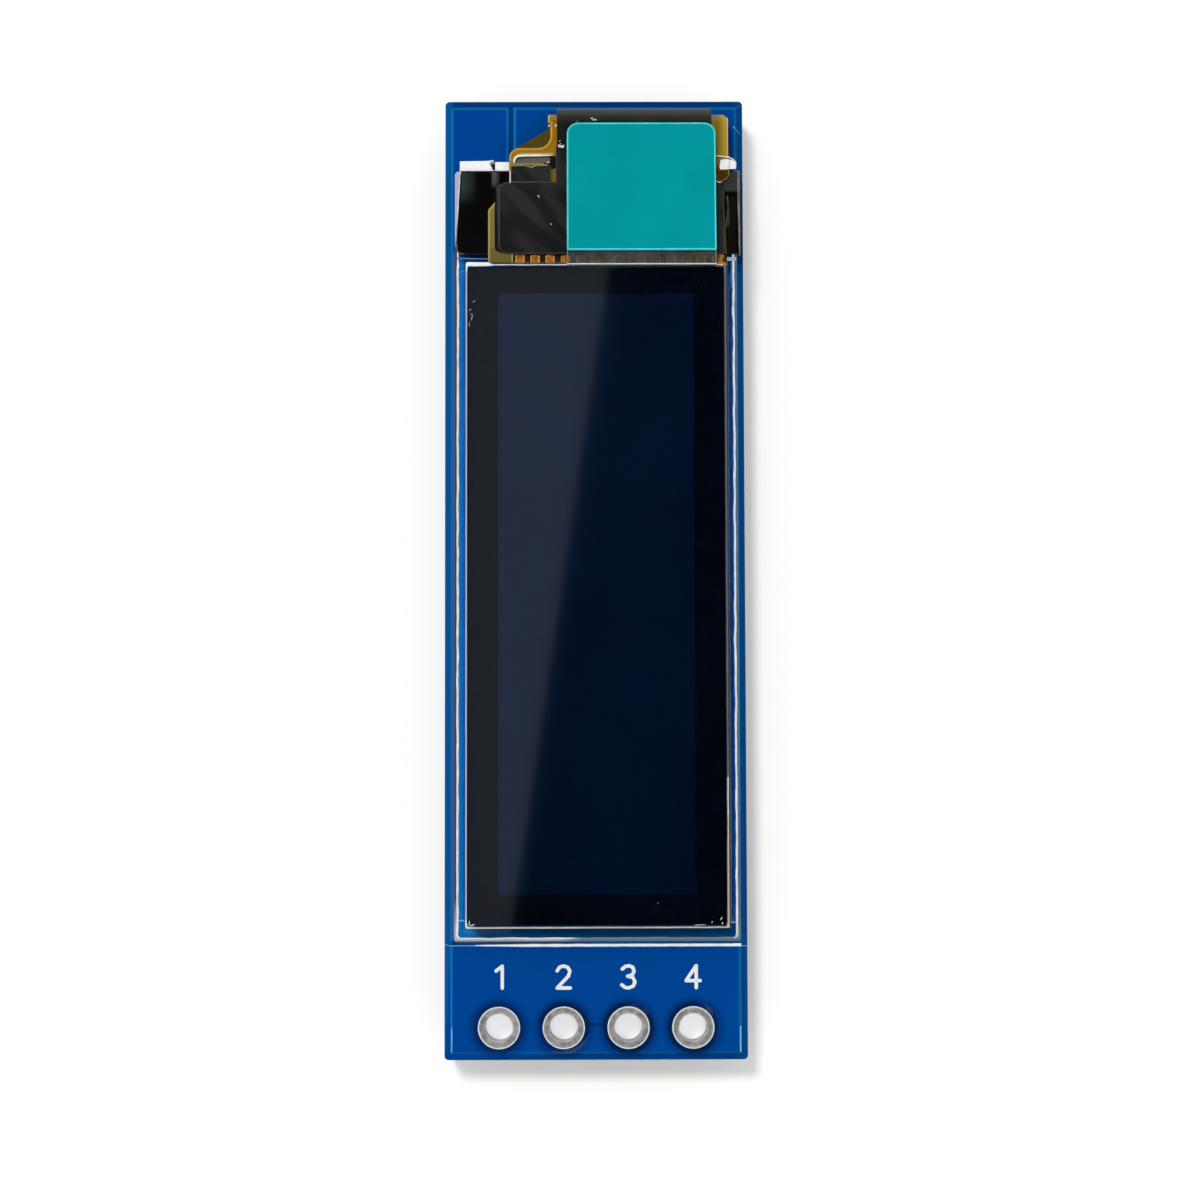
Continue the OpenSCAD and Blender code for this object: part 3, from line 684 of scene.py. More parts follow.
def makeBoard():
    low, high = boxOf("circuit_board")
    pourTop = high.z
    plainTop = pourTop - boardDetail["copperStep"]
    bm = copyOf("circuit_board")
    # the routed corners are tighter than the solid's
    old, new = boardDetail["drawnCorner"], boardDetail["corner"]
    for v in bm.verts:
        over = Vector((abs(v.co.x) - (high.x - old), abs(v.co.y) - (high.y - old)))
        if over.x > -1e-4 and over.y > -1e-4 and max(over) > 0.07:
            sides = (1 if v.co.x > 0 else -1, 1 if v.co.y > 0 else -1)
            v.co.x = sides[0] * (high.x - new + over.x / old * new)
            v.co.y = sides[1] * (high.y - new + over.y / old * new)
    weight = bm.edges.layers.float.new("bevel_weight_edge")
    ridge = boardDetail["ridgeRound"] / boardDetail["edgeRound"]
    for edge in bm.edges:
        if len(edge.link_faces) != 2 or edge.calc_face_angle() < 0.6:
            continue
        a, b = edge.verts[0].co, edge.verts[1].co
        if abs(a.z - b.z) > 0.01:
            continue
        level = (a.z + b.z) / 2
        reach = max(max(abs(a.x), abs(b.x)) - high.x, max(abs(a.y), abs(b.y)) - high.y)
        if abs(level - low.z) < 0.01 or (abs(level - plainTop) < 0.01 and reach > -0.09):
            edge[weight] = 1.0
        elif abs(level - pourTop) < 0.01:
            edge[weight] = ridge
    piece = pieceFrom(bm, "circuitBoard", (maskOverCopper, maskOverLaminate, maskAtEdge, laminate))
    piece = bevelled(piece, boardDetail["edgeRound"], 2, "WEIGHT")
    for face in piece.data.polygons:
        level, up = face.center.z / mm, face.normal.z
        away = min((Vector(face.center.xy) / mm - p.xy).length for p in holePlaces)
        nearHole = away < boardDetail["holeReach"]
        if abs(up) > 0.98:
            face.material_index = 0 if up < 0 or nearHole or level > pourTop - 0.005 else 1
        elif level > plainTop + 0.001:
            face.material_index = 0 if nearHole else 2
        elif abs(up) > 0.2:
            face.material_index = 1
        else:
            face.material_index = 3
    settle(piece, "solder_mask", "circuit_board")


makeBoard()
print("board done")


# plated holes: a barrel and a crowned ring of tin on both faces
ringDetail = {"hole": 0.55, "crown": 0.03, "barrelWall": 0.05, "bead": 0.032, "steps": 72,
              "crownSteps": 16, "beadSteps": 10}


# a section swept round the hole, in one material
def sweptRound(tree, radius, section, material):
    path = addNode(tree, "GeometryNodeCurvePrimitiveCircle", {"mode": "RADIUS"}, {
        "Resolution": ringDetail["steps"], "Radius": radius})
    swept = addNode(tree, "GeometryNodeCurveToMesh", links={0: path, 1: section})
    return addNode(tree, "GeometryNodeSetMaterial", links={0: swept, "Material": material})


def makeRings():
    tree, given = newTree("platedHole", {
        "Hole radius": "NodeSocketFloat", "Pad radius": "NodeSocketFloat",
        "Bottom": "NodeSocketFloat", "Top": "NodeSocketFloat", "Place": "NodeSocketVector",
        "Bead": "NodeSocketFloat", "Ring": "NodeSocketMaterial", "Edge": "NodeSocketMaterial"})
    across = addNode(tree, "ShaderNodeMath", {"operation": "SUBTRACT"},
                     {0: given["Pad radius"], 1: given["Hole radius"]})
    total = addNode(tree, "ShaderNodeMath", {"operation": "ADD"},
                    {0: given["Pad radius"], 1: given["Hole radius"]})
    levels = addNode(tree, "ShaderNodeMath", {"operation": "ADD"},
                     {0: given["Top"], 1: given["Bottom"]})
    halfAcross, middle, halfway = [
        addNode(tree, "ShaderNodeMath", {"operation": "MULTIPLY"}, {0: value, 1: 0.5})
        for value in (across, total, levels)]
    section = addNode(tree, "GeometryNodeCurvePrimitiveCircle", {"mode": "RADIUS"}, {
        "Resolution": ringDetail["crownSteps"], "Radius": 1.0})
    spread = addNode(tree, "ShaderNodeCombineXYZ", links={
        0: halfAcross, 1: ringDetail["crown"] * mm, 2: 1.0})
    shaped = addNode(tree, "GeometryNodeTransform", links={0: section, "Scale": spread})
    ring = sweptRound(tree, middle, shaped, given["Ring"])
    rimRadius = addNode(tree, "ShaderNodeMath", {"operation": "SUBTRACT"},
                        {0: given["Pad radius"], 1: given["Bead"]})
    rimSection = addNode(tree, "GeometryNodeCurvePrimitiveCircle", {"mode": "RADIUS"}, {
        "Resolution": ringDetail["beadSteps"], "Radius": given["Bead"]})
    bead = sweptRound(tree, rimRadius, rimSection, given["Edge"])
    both = addNode(tree, "GeometryNodeJoinGeometry", links={0: ring})
    tree.links.new(bead.outputs[0], both.inputs[0])
    wall = ringDetail["barrelWall"] * mm
    barrelRadius = addNode(tree, "ShaderNodeMath", {"operation": "ADD"},
                           {0: given["Hole radius"], 1: wall / 2})
    tall = addNode(tree, "ShaderNodeMath", {"operation": "SUBTRACT"},
                   {0: given["Top"], 1: given["Bottom"]})
    barrelSection = addNode(tree, "GeometryNodeCurvePrimitiveQuadrilateral", links={
        "Width": wall, "Height": tall})
    barrel = sweptRound(tree, barrelRadius, barrelSection, given["Edge"])
    parts = []
    for shape, level in ((both, given["Bottom"]), (both, given["Top"]), (barrel, halfway)):
        lift = addNode(tree, "ShaderNodeCombineXYZ", links={2: level})
        parts.append(addNode(tree, "GeometryNodeTransform", links={
            0: shape, "Translation": lift}))
    whole = addNode(tree, "GeometryNodeJoinGeometry")
    for part in parts:
        tree.links.new(part.outputs[0], whole.inputs[0])
    moved = addNode(tree, "GeometryNodeTransform", links={
        0: whole, "Translation": given["Place"]})
    closeTree(tree, moved)
    for i in range(1, 5):
        low, high = boxOf(f"barrel_plating_{i}")
        padRadius = (high.x - low.x) / 2
        piece = runTree(tree, f"platedHole{i}", {
            "Hole radius": ringDetail["hole"] * mm, "Pad radius": padRadius * mm,
            "Bottom": (low.z + ringDetail["crown"]) * mm,
            "Top": (high.z - ringDetail["crown"]) * mm,
            "Place": ((low.x + high.x) / 2 * mm, (low.y + high.y) / 2 * mm, 0.0),
            "Bead": ringDetail["bead"] * mm, "Ring": tinned, "Edge": tinPaintedHighlight})
        settle(piece, "tinned_ring", f"barrel_plating_{i}")


makeRings()
print("plated holes done")


# in mm: the numbers' height, half their stroke, their thickness and how far they stand above
# the holes; reach, place, half width and steps of the printed line; the painted highlight strokes
# at the corners
inkDetail = {"height": 0.86, "stroke": 0.068, "thickness": 0.01, "above": 1.98,
             "lineReach": (-4.75, 5.7), "lineY": -14.585, "lineHalf": 0.055, "lineSteps": 56,
             "strokeAt": 5.66, "strokeHalf": 0.022, "strokeEnds": (-18.76, -17.75)}
# digit strokes on a grid one unit high, drawn as a plotter would
digits = {
    "1": [[(0.02, 0.78), (0.3, 1.0), (0.3, 0.0)]],
    "2": [[(0.0, 0.78), (0.12, 0.95), (0.3, 1.0), (0.48, 0.94), (0.58, 0.77), (0.52, 0.55),
           (0.0, 0.0), (0.6, 0.0)]],
    "3": [[(0.02, 0.85), (0.15, 0.97), (0.33, 1.0), (0.5, 0.93), (0.56, 0.76), (0.48, 0.58),
           (0.26, 0.53), (0.5, 0.47), (0.6, 0.28), (0.52, 0.08), (0.32, 0.0), (0.14, 0.02),
           (0.0, 0.14)]],
    "4": [[(0.46, 0.0), (0.46, 1.0), (0.0, 0.32), (0.64, 0.32)]],
}


def makeInk():
    low, high = boxOf("circuit_board")
    surface = high.z
    curve = bpy.data.curves.new("silkscreenPaths", "CURVE")
    curve.dimensions = "3D"
    curve.bevel_depth = inkDetail["stroke"]
    curve.bevel_resolution = 3
    curve.use_fill_caps = True
    paths = []
    for i, label in enumerate("1234", 1):
        middle = holePlaces[i - 1]
        for stroke in digits[label]:
            width = max(p[0] for p in stroke)
            paths.append([(middle.x + (u - width / 2) * inkDetail["height"],
                           middle.y + inkDetail["above"] + (v - 0.5) * inkDetail["height"])
                          for u, v in stroke])
    # each straight run is its own spline, so no corner pinches it
    for path in paths:
        for run in zip(path, path[1:]):
            spline = curve.splines.new("POLY")
            spline.points.add(1)
            for point, (x, y) in zip(spline.points, run):
                point.co = (x, y, 0, 1)
    piece = bpy.data.objects.new("silkscreenDigits", curve)
    bpy.context.scene.collection.objects.link(piece)
    piece = madePlain(piece)
    # round dots at every bend and end, then everything pressed flat
    bm = bmesh.new()
    bm.from_mesh(piece.data)
    for path in paths:
        for x, y in path:
            bmesh.ops.create_uvsphere(bm, u_segments=12, v_segments=8, radius=inkDetail["stroke"],
                                      matrix=Matrix.Translation((x, y, 0)))
    for v in bm.verts:
        v.co.z = surface + v.co.z / inkDetail["stroke"] * inkDetail["thickness"]
    bpy.data.objects.remove(piece)
    piece = pieceFrom(bm, "silkscreenDigits", (inkWhite,))
    settle(piece, "solder_mask")
    # fine line printed under the edge of the glass, worn thin towards both ends
    reach, y, half = inkDetail["lineReach"], inkDetail["lineY"], inkDetail["lineHalf"]
    outline = []
    last = inkDetail["lineSteps"]
    for side, steps in ((-1, range(0, last + 1)), (1, range(last, -1, -1))):
        for i in steps:
            x = reach[0] + (reach[1] - reach[0]) * i / last
            ends = min(1.0, 0.3 + (x - reach[0]) * 0.35)
            waver = 0.2 * noise.noise(Vector((x * 2.2, side * 3, 0)))
            outline.append((x, y + side * half * (ends + waver)))
    piece = sheetPiece("silkscreenLine", [outline], surface + 0.01, 0.009, (inkWhite,))
    settle(piece, "solder_mask")
    faint = [(low.x + 0.02, y + 0.06), (low.x + 0.2, y + 0.005), (reach[0], y + 0.005),
             (reach[0], y - 0.02), (low.x + 0.2, y - 0.02), (low.x + 0.02, y + 0.03)]
    faintRight = [(reach[1], y - 0.05), (high.x - 0.04, y - 0.05), (high.x - 0.04, y - 0.02),
                  (reach[1], y - 0.02)]
    for name, shape in (("silkscreenFaintLeft", faint), ("silkscreenFaintRight", faintRight)):
        settle(sheetPiece(name, [shape], surface + 0.006, 0.005, (inkPaleAndGlint,)), "solder_mask")
    # two short pale strokes beside the end holes, painted highlights on the copper's edge ridges
    at, half, (start, end) = [inkDetail[key] for key in ("strokeAt", "strokeHalf", "strokeEnds")]
    strokes = [[(side * at - half, start), (side * at + half, start), (side * at + half, end),
                (side * at - half, end)] for side in (-1, 1)]
    piece = sheetPiece("silkscreenStrokes", strokes, surface + 0.006, 0.005, (inkPaleAndGlint,))
    settle(piece, "solder_mask")


makeInk()
print("silkscreen done")


# widths on the left, bottom, right and top, seen from above, of the ground slope and of the
# bright lip inside it; changes are (which, side, from, to, width at from, width at to)
rearGlassDetail = {"slope": (0.085, 0.13, 0.1, 0.02), "lip": (0.08, 0.05, 0.08, 0.02),
                   "drop": 0.07, "corner": 0.15, "step": 0.2, "waver": 0.02,
                   "clearSlopes": False,
                   "changes": (("slope", 0, 13.4, 16.1, 0.06, 0.19),
                               ("lip", 0, 12.4, 16.1, 0.05, 0.02))}
frontGlassDetail = {"slope": (0.012, 0.012, 0.1, 0.1), "lip": (0.06, 0.055, 0.065, 0.035),
                    "drop": 0.05, "corner": 0.08, "step": 0.2, "waver": 0.008, "clearSlopes": True,
                    "changes": (("slope", 3, -5.2, -4.2, 0.01, 0.01),
                                ("lip", 3, -5.2, -4.2, 0.16, 0.15),
                                ("lip", 2, -14.0, -10.0, 0.12, 0.06))}


# both sheets: width of the small bevel underneath, the lip's height, and how far from the top
# and right edges the slope is polished
glassDetail = {"bevelBelow": 0.03, "lipHeight": 0.012, "polished": 0.13}


def groundWidth(detail, which, side, along):
    for part, where, start, end, first, last in detail["changes"]:
        if (part, where) == (which, side) and start <= along <= end:
            return first + (last - first) * (along - start) / (end - start)
    return detail[which][side]


# a point of the outline moved in by the widths on the left, bottom, right and top
def movedIn(x, y, low, high, widths):
    left, bottom, right, top = widths
    u, v = (x - low.x) / (high.x - low.x), (y - low.y) / (high.y - low.y)
    return x + left * (1 - u) - right * u, y + bottom * (1 - v) - top * v


def makeGlass(name, nodeName, detail, seed):
    low, high = boxOf(nodeName)
    radius, step, drop = detail["corner"], detail["step"], detail["drop"]
    outline = roundedOutline(low.x, low.y, high.x, high.y, radius, step)
    below = glassDetail["bevelBelow"]
    underside, body, shoulder, slope, lip = [], [], [], [], []
    for x, y in outline:
        waver = detail["waver"] * noise.noise(Vector((x * 1.3, y * 1.3, seed)))
        chip = 1 + 0.25 * noise.noise(Vector((x * 3.1, y * 3.1, seed + 5)))
        sides = ((0, y), (1, x), (2, y), (3, x))
        slopes = [groundWidth(detail, "slope", *where) + waver for where in sides]
        lips = [width + groundWidth(detail, "lip", *where) * chip
                for width, where in zip(slopes, sides)]
        underside.append((*movedIn(x, y, low, high, [below] * 4), low.z))
        body.append((x, y, low.z + below))
        shoulder.append((x, y, high.z - drop))
        slope.append((*movedIn(x, y, low, high, slopes), high.z - glassDetail["lipHeight"]))
        lip.append((*movedIn(x, y, low, high, lips), high.z))
    piece = loft(name, (underside, body, shoulder, slope, lip),
                 (clearGlass, groundGlass, glassLip), (1, 0, 1, 2))
    # the slopes at its top and right are polished, so they stay clear
    for face in piece.data.polygons:
        if detail["clearSlopes"] and face.material_index == 1 and face.normal.z > 0.05:
            beyond = max(face.center.y / mm - high.y, face.center.x / mm - high.x)
            if beyond > -glassDetail["polished"]:
                face.material_index = 0
    return settle(piece, "panel_glass", nodeName)


makeGlass("rearGlass", "rear_glass", rearGlassDetail, 3.0)
makeGlass("frontGlass", "front_glass", frontGlassDetail, 7.0)


windowLow, windowHigh = boxOf("emitter_stack")
polarizerSheet = makePolarizer(windowLow, windowHigh)
# polarizing sheet, die cut: a black edge
polarizerRim = plainMaterial("cutPolarizerEdge", "#1b1b1d", "#0c0c0e", 0.5,
                             {"Roughness": 0.3, "IOR": 1.5})


def makePolarizerPiece():
    low, high = boxOf("polarizer")
    piece = sheetPiece("polarizingSheet", topLoops("polarizer"), high.z, high.z - low.z,
                       (polarizerSheet, polarizerRim), 0.025)
    settle(piece, "polarizer", "polarizer")


makePolarizerPiece()

for name, material in (("edge_seal", sealant), ("emitter_stack", emitter),
                       ("panel_tape", foamWhite), ("driver_chip", silicon)):
    for slot in nodes[name].material_slots:
        slot.material = material


lineDetail = {"above": 0.004, "thick": 0.003}


# fine pale lines on the rear glass: pale blue lines near its left and right edges and under the
# ledge, short whitish marks where it was scored, and a grey painted highlight at its upper right
# corner
def makeGlassLines():
    level = boxOf("rear_glass")[1].z + lineDetail["above"]
    paleLines = [[(-5.36, 11.94), (-5.34, 11.94), (-5.335, 12.0), (-5.14, 12.06), (-5.14, 12.09),
                (-5.36, 12.03)],
               [(-5.36, -13.4), (-5.34, -13.4), (-5.335, 11.9), (-5.355, 11.9)],
               [(5.425, 11.36), (5.45, 11.36), (5.45, 12.4), (5.42, 12.4)],
               [(-5.45, 12.54), (-4.22, 12.52), (-4.22, 12.56), (-5.45, 12.59)]]
    scribedAndHighlight = [[(-5.35, -13.6), (-5.155, -13.6), (-5.155, -13.56), (-5.35, -13.56)],
               [(5.235, -13.69), (5.51, -13.69), (5.51, -13.66), (5.235, -13.66)],
               [(5.19, 12.46), (5.63, 12.44), (5.63, 12.6), (5.19, 12.6)]]
    for name, shapes, material in (("coatingEdge", paleLines, paleBlueLine),
                                   ("scribeMarks", scribedAndHighlight, scribeAndHighlightGrey)):
        bm = bmesh.new()
        for shape in shapes:
            bm.faces.new([bm.verts.new((x, y, level)) for x, y in shape])
        bmesh.ops.recalc_face_normals(bm, faces=bm.faces)
        for face in bm.faces:
            if face.normal.z < 0:
                face.normal_flip()
        piece = pieceFrom(bm, name, (material,))
        made = piece.modifiers.new("thickness", "SOLIDIFY")
        made.thickness = lineDetail["thick"] * mm
        made.offset = -1
        settle(madePlain(piece), "panel_glass")


makeGlassLines()
print("panel done")


# in mm: film and tab, the thin gap that keeps each off what is below, their pale rims, how far
# the film stops short of the plate, corner radii, and the bend where the tongue leaves the plate
filmDetail = {"thick": 0.05, "tabThick": 0.1, "gap": 0.004, "rim": 0.035, "tabRim": 0.06,
              "short": 0.04, "plateCorner": 0.12, "tongueCorner": 0.45, "dropFrom": 0.2,
              "bow": 0.04, "bendAt": 0.115, "bendWidth": 0.035, "bendAbove": 0.006,
              "bendThick": 0.004}
plateLow, plateHigh = boxOf("polarizer")
filmLow, filmHigh = boxOf("protective_film")


def tongueDrop(x, y):
    start = plateHigh.y + filmDetail["dropFrom"]
    share = min(1.0, max(0.0, (y - start) / (filmHigh.y - start)))
    # the film leaves the edge in a soft bend, then runs straight
    return (filmLow.z - plateHigh.z) * (share + filmDetail["bow"] * sin(pi * share) ** 2)


def makeFilms():
    tabLow, tabHigh = boxOf("pull_tab")
    tongueLow, tongueHigh = tabLow.x, tabHigh.x
    short, corner = filmDetail["short"], filmDetail["tongueCorner"]
    x0, y0 = plateLow.x + short, plateLow.y + short
    x1, y1 = plateHigh.x - short, plateHigh.y - short
    plate = roundedOutline(x0, y0, x1, y1, filmDetail["plateCorner"])
    tongue = [(tongueHigh, y1), (tongueHigh, filmHigh.y - corner)]
    tongue += [(tongueHigh - corner + corner * cos(a * pi / 16),
                filmHigh.y - corner + corner * sin(a * pi / 16)) for a in range(1, 9)]
    tongue += [(tongueLow + corner - corner * sin(a * pi / 16),
                filmHigh.y - corner + corner * cos(a * pi / 16)) for a in range(0, 9)]
    tongue += [(tongueLow, y1)]
    # plate corners run anticlockwise, so the tongue goes in after the top right one
    cutAt = next(i for i, p in enumerate(plate) if i > 11 and p[1] > y1 - 1e-6) + 1
    outline = plate[:cutAt] + tongue + plate[cutAt:]
    slices = [plateHigh.y + 0.05 + i * 0.12 for i in range(10)]
    slices += [plateHigh.y + 1.4 + i * 0.4 for i in range(11)]
    filmTop = plateHigh.z + filmDetail["thick"]
    piece = sheetPiece("protectiveFilm", [outline], filmTop,
                       filmDetail["thick"] - filmDetail["gap"],
                       (clearFilm, filmEdge, hazedFilm), filmDetail["rim"], tongueDrop, slices)
    # the tongue was handled, so it is hazed and scuffed; on the plate the cut edge lies flat
    for face in piece.data.polygons:
        free = face.center.y > (plateHigh.y + 0.1) * mm
        if face.material_index == 0 and free:
            face.material_index = 2
        elif not free:
            face.material_index = 0
    settle(piece, "clear_film", "protective_film")
    # a thin white strip across the tongue at its bend is a painted highlight
    bend = plateHigh.y + filmDetail["bendAt"]
    half = filmDetail["bendWidth"] / 2
    crease = [(tongueLow, bend - half), (tongueHigh, bend - half), (tongueHigh, bend + half),
              (tongueLow, bend + half)]
    piece = sheetPiece("filmCrease", [crease], filmTop + filmDetail["bendAbove"],
                       filmDetail["bendThick"], (edgeHighlightWhite,), 0, tongueDrop, (bend,))
    settle(piece, "clear_film")
    tab = [(tongueLow, tabLow.y), (tongueHigh, tabLow.y)] + tongue[1:-1]
    piece = sheetPiece("pullTab", [tab], filmTop + filmDetail["tabThick"],
                       filmDetail["tabThick"] - filmDetail["gap"], (tealFilm, tealEdgeHighlight),
                       filmDetail["tabRim"], tongueDrop, slices)
    settle(piece, "teal_film", "pull_tab")


makeFilms()
print("films done")


ledgeDetail = {"overhang": 0.14, "rim": 0.05, "lean": 0.2}


# the film doesn't lie flat: its left corner curls up, it steps near x -4, and its right end creases
def ledgeHeight(x, y):
    upper = min(1.0, max(0.0, (y - 14.9) / 0.8))
    curl = max(0.0, (-5.16 - x) / 0.2) * 0.05 * upper
    step = 0.05 * upper * max(0.0, 1 - abs(x + 3.98) / 0.13)
    crease = 0.0
    if x > 5.0:
        middle = 5.3 - 0.05 * (y - 14.2) ** 2
        crease = 0.035 * max(0.0, 1 - abs(x - middle) / 0.1) * min(1.0, max(0.0, (y - 12.7) / 0.6))
    return curl + step + crease


def makeLedge():
    low, high = boxOf("ledge_film")
    x0, x1 = low.x, high.x + ledgeDetail["overhang"]
    outline = [(x0 + 0.2, low.y), (x1 - 0.05, low.y), (x1 - 0.02, low.y + 0.08), (x1, high.y),
               (x0 + ledgeDetail["lean"], high.y), (x0 + 0.02, 13.65), (x0, low.y + 0.2),
               (x0 + 0.06, low.y + 0.06)]
    piece = sheetPiece("ledgeFilm", [outline], high.z, high.z - low.z, (ledgeBlack, ledgeRim),
                       ledgeDetail["rim"], ledgeHeight,
                       [12.9 + i * 0.25 for i in range(13)],
                       [-5.36, -5.16, -4.11, -4.04, -3.98, -3.92, -3.85] +
                       [5.0 + i * 0.06 for i in range(11)])
    settle(piece, "ledge_black", "ledge_film")


makeLedge()

# in mm: width of the bare rim, and the height below which all that faces up is the rear layer
flexDetail = {"rim": 0.07, "rearBelow": 2.8}


def makeFlex():
    low, high = boxOf("flex_cable")
    bm = copyOf("flex_cable")
    foldZ = (low.z + high.z) / 2
    foldRadius = (high.z - low.z) / 2
    foldY = high.y - foldRadius
    outer = []
    for face in bm.faces:
        centre, normal = face.calc_center_median(), face.normal
        away = Vector((0, max(0.0, centre.y - foldY), centre.z - foldZ))
        outward = away.normalized().dot(normal) > 0.8
        if outward and away.length > foldRadius - 0.05:
            outer.append(face)
    bmesh.ops.inset_region(bm, faces=outer, thickness=flexDetail["rim"], use_even_offset=True)
    for face in bm.faces:
        face.material_index = 1
    for face in outer:
        if face.is_valid:
            face.material_index = 0
    for face in bm.faces:
        if face.normal.z > 0.9 and face.calc_center_median().z < flexDetail["rearBelow"]:
            face.material_index = 0
    piece = pieceFrom(bm, "flexCable", (polyimide, polyimideRim))
    settle(piece, "polyimide", "flex_cable")


makeFlex()


tapeDetail = {"rim": 0.03, "glueWidth": 0.03, "glueThick": 0.012,
              "glueBlob": ((-1.68, 16.64), (-1.48, 16.66), (-1.47, 16.2), (-1.62, 16.12),
                           (-1.8, 16.14), (-1.86, 16.24), (-1.76, 16.3), (-1.74, 16.46))}


def makeTapes():
    for name, nodeName in (("chipTape", "chip_tape"), ("shoulderTape", "shoulder_tape")):
        low, high = boxOf(nodeName)
        bm = copyOf(nodeName)

        def isTop(face):
            return face.normal.z > 0.9 and face.calc_center_median().z > high.z - 0.005
        top = [f for f in bm.faces if isTop(f)]
        for face in bm.faces:
            face.material_index = 2
        bmesh.ops.inset_region(bm, faces=top, thickness=tapeDetail["rim"], use_even_offset=True)
        for face in bm.faces:
            if isTop(face):
                face.material_index = 1
        for face in top:
            face.material_index = 0
        settle(pieceFrom(bm, name, (blackTape, tapeRimHighlight, tapeGlue)), "black_tape", nodeName)
    piece = pieceFrom(copyOf("fold_tape"), "foldTape", (foldTapeFinish,))
    settle(piece, "black_tape", "fold_tape")


makeTapes()


# dark glue pressed out beside the driver tape and beside the neck, lying on the flex cable
def makeGlue():
    low = boxOf("chip_tape")[0]
    flexTop = boxOf("flex_cable")[1].z
    x, width = low.x, tapeDetail["glueWidth"]
    seam = [(x + 0.02, 15.1), (x - width * 0.6, 14.9), (x - width, 14.4), (x - width * 0.9, 13.6),
            (x - width * 0.95, 13.1), (x - width * 0.3, 12.86), (x + 0.25, low.y + 0.02),
            (x + 0.4, low.y + 0.1), (x + 0.1, low.y + 0.4)]
    for name, outline in (("tapeGlueSeam", seam), ("tapeGlueBlob", tapeDetail["glueBlob"])):
        piece = sheetPiece(name, [outline], flexTop + tapeDetail["glueThick"],
                           tapeDetail["glueThick"] - 0.001, (tapeGlue,))
        settle(piece, "black_tape")


makeGlue()


# outline of a ribbon along a path, whose half width is given point by point
def ribbon(path, halves):
    path = [Vector(p) for p in path]
    last = len(path) - 1
    left, right = [], []
    for i, (here, half) in enumerate(zip(path, halves)):
        along = (path[min(i + 1, last)] - path[max(i - 1, 0)]).normalized()
        across = Vector((-along.y, along.x)) * half
        left.append(tuple(here + across))
        right.append(tuple(here - across))
    return left + right[::-1]


# clear bead along the glass: a thin white strip along its upper edge is a painted highlight, and
# one chip of it came off, painted white the same way
lipDetail = {"path": ((-3.19, 16.36), (-3.17, 16.5), (-3.11, 16.6), (-3.01, 16.655), (-2.7, 16.672),
                      (-2.2, 16.676), (-1.7, 16.674)),
             "half": 0.0425, "narrowed": 0.45, "above": 0.12, "thick": 0.03, "chipAbove": 0.1,
             "chip": ((-1.95, 16.335), (-1.8, 16.44), (-1.775, 16.36), (-1.79, 16.325))}


def makeLip():
    top, full = boxOf("bond_resin")[1].z, lipDetail["half"]
    narrow = full * lipDetail["narrowed"]
    halves = [narrow] + [full] * (len(lipDetail["path"]) - 2) + [narrow]
    for name, outline, above in (
            ("resinLip", ribbon(lipDetail["path"], halves), lipDetail["above"]),
            ("resinChip", lipDetail["chip"], lipDetail["chipAbove"])):
        piece = sheetPiece(name, [outline], top + above, lipDetail["thick"], (edgeHighlightWhite,))
        settle(piece, "clear_resin")


makeLip()


# right edge of the flex cable: its brown foot bends under a curled end of white liner
rightEdgeDetail = {
    "curlFrom": 5.0, "curlReach": 0.64, "curlRise": 0.14, "thick": 0.03, "lipThick": 0.02,
    "footBelow": 0.01, "footRim": 0.025,
    "curl": ((5.03, 16.47), (5.2, 16.5), (5.36, 16.49), (5.52, 16.42), (5.64, 16.31),
             (5.62, 16.09), (5.02, 16.09), (4.99, 16.2)),
    "lip": ((4.84, 16.66), (5.1, 16.63), (5.37, 16.585), (5.55, 16.47), (5.65, 16.33),
            (5.63, 16.3), (5.52, 16.43), (5.36, 16.54), (5.1, 16.59), (4.84, 16.62)),
    "foot": ((4.86, 16.36), (4.97, 16.33), (5.01, 16.09), (5.37, 16.09), (5.365, 15.86),
             (5.24, 15.7), (5.1, 15.62), (4.9, 15.68), (4.86, 15.8))}


def curlHeight(x, y):
    along = max(0.0, (x - rightEdgeDetail["curlFrom"]) / rightEdgeDetail["curlReach"])
    return rightEdgeDetail["curlRise"] * along ** 2


def makeRightEdge():
    top, detail = boxOf("liner_right")[1].z, rightEdgeDetail
    piece = sheetPiece("linerCurl", [detail["curl"]], top, detail["thick"], (linerWhite,), 0,
                       curlHeight, (16.15, 16.3, 16.42), (5.1, 5.2, 5.3, 5.36, 5.4, 5.5, 5.58))
    settle(piece, "white_foam", "liner_right")
    # a thin white lip along the curl's upper edge is a painted highlight
    piece = sheetPiece("linerLip", [detail["lip"]], top + detail["lipThick"],
                       detail["lipThick"], (edgeHighlightWhite,), 0, curlHeight, (),
                       (5.1, 5.25, 5.37, 5.5))
    settle(piece, "white_foam")
    piece = sheetPiece("flexFoot", [detail["foot"]], top - detail["footBelow"],
                       detail["thick"], (footBrown, polyimideFoot), detail["footRim"])
    settle(piece, "polyimide")


makeRightEdge()


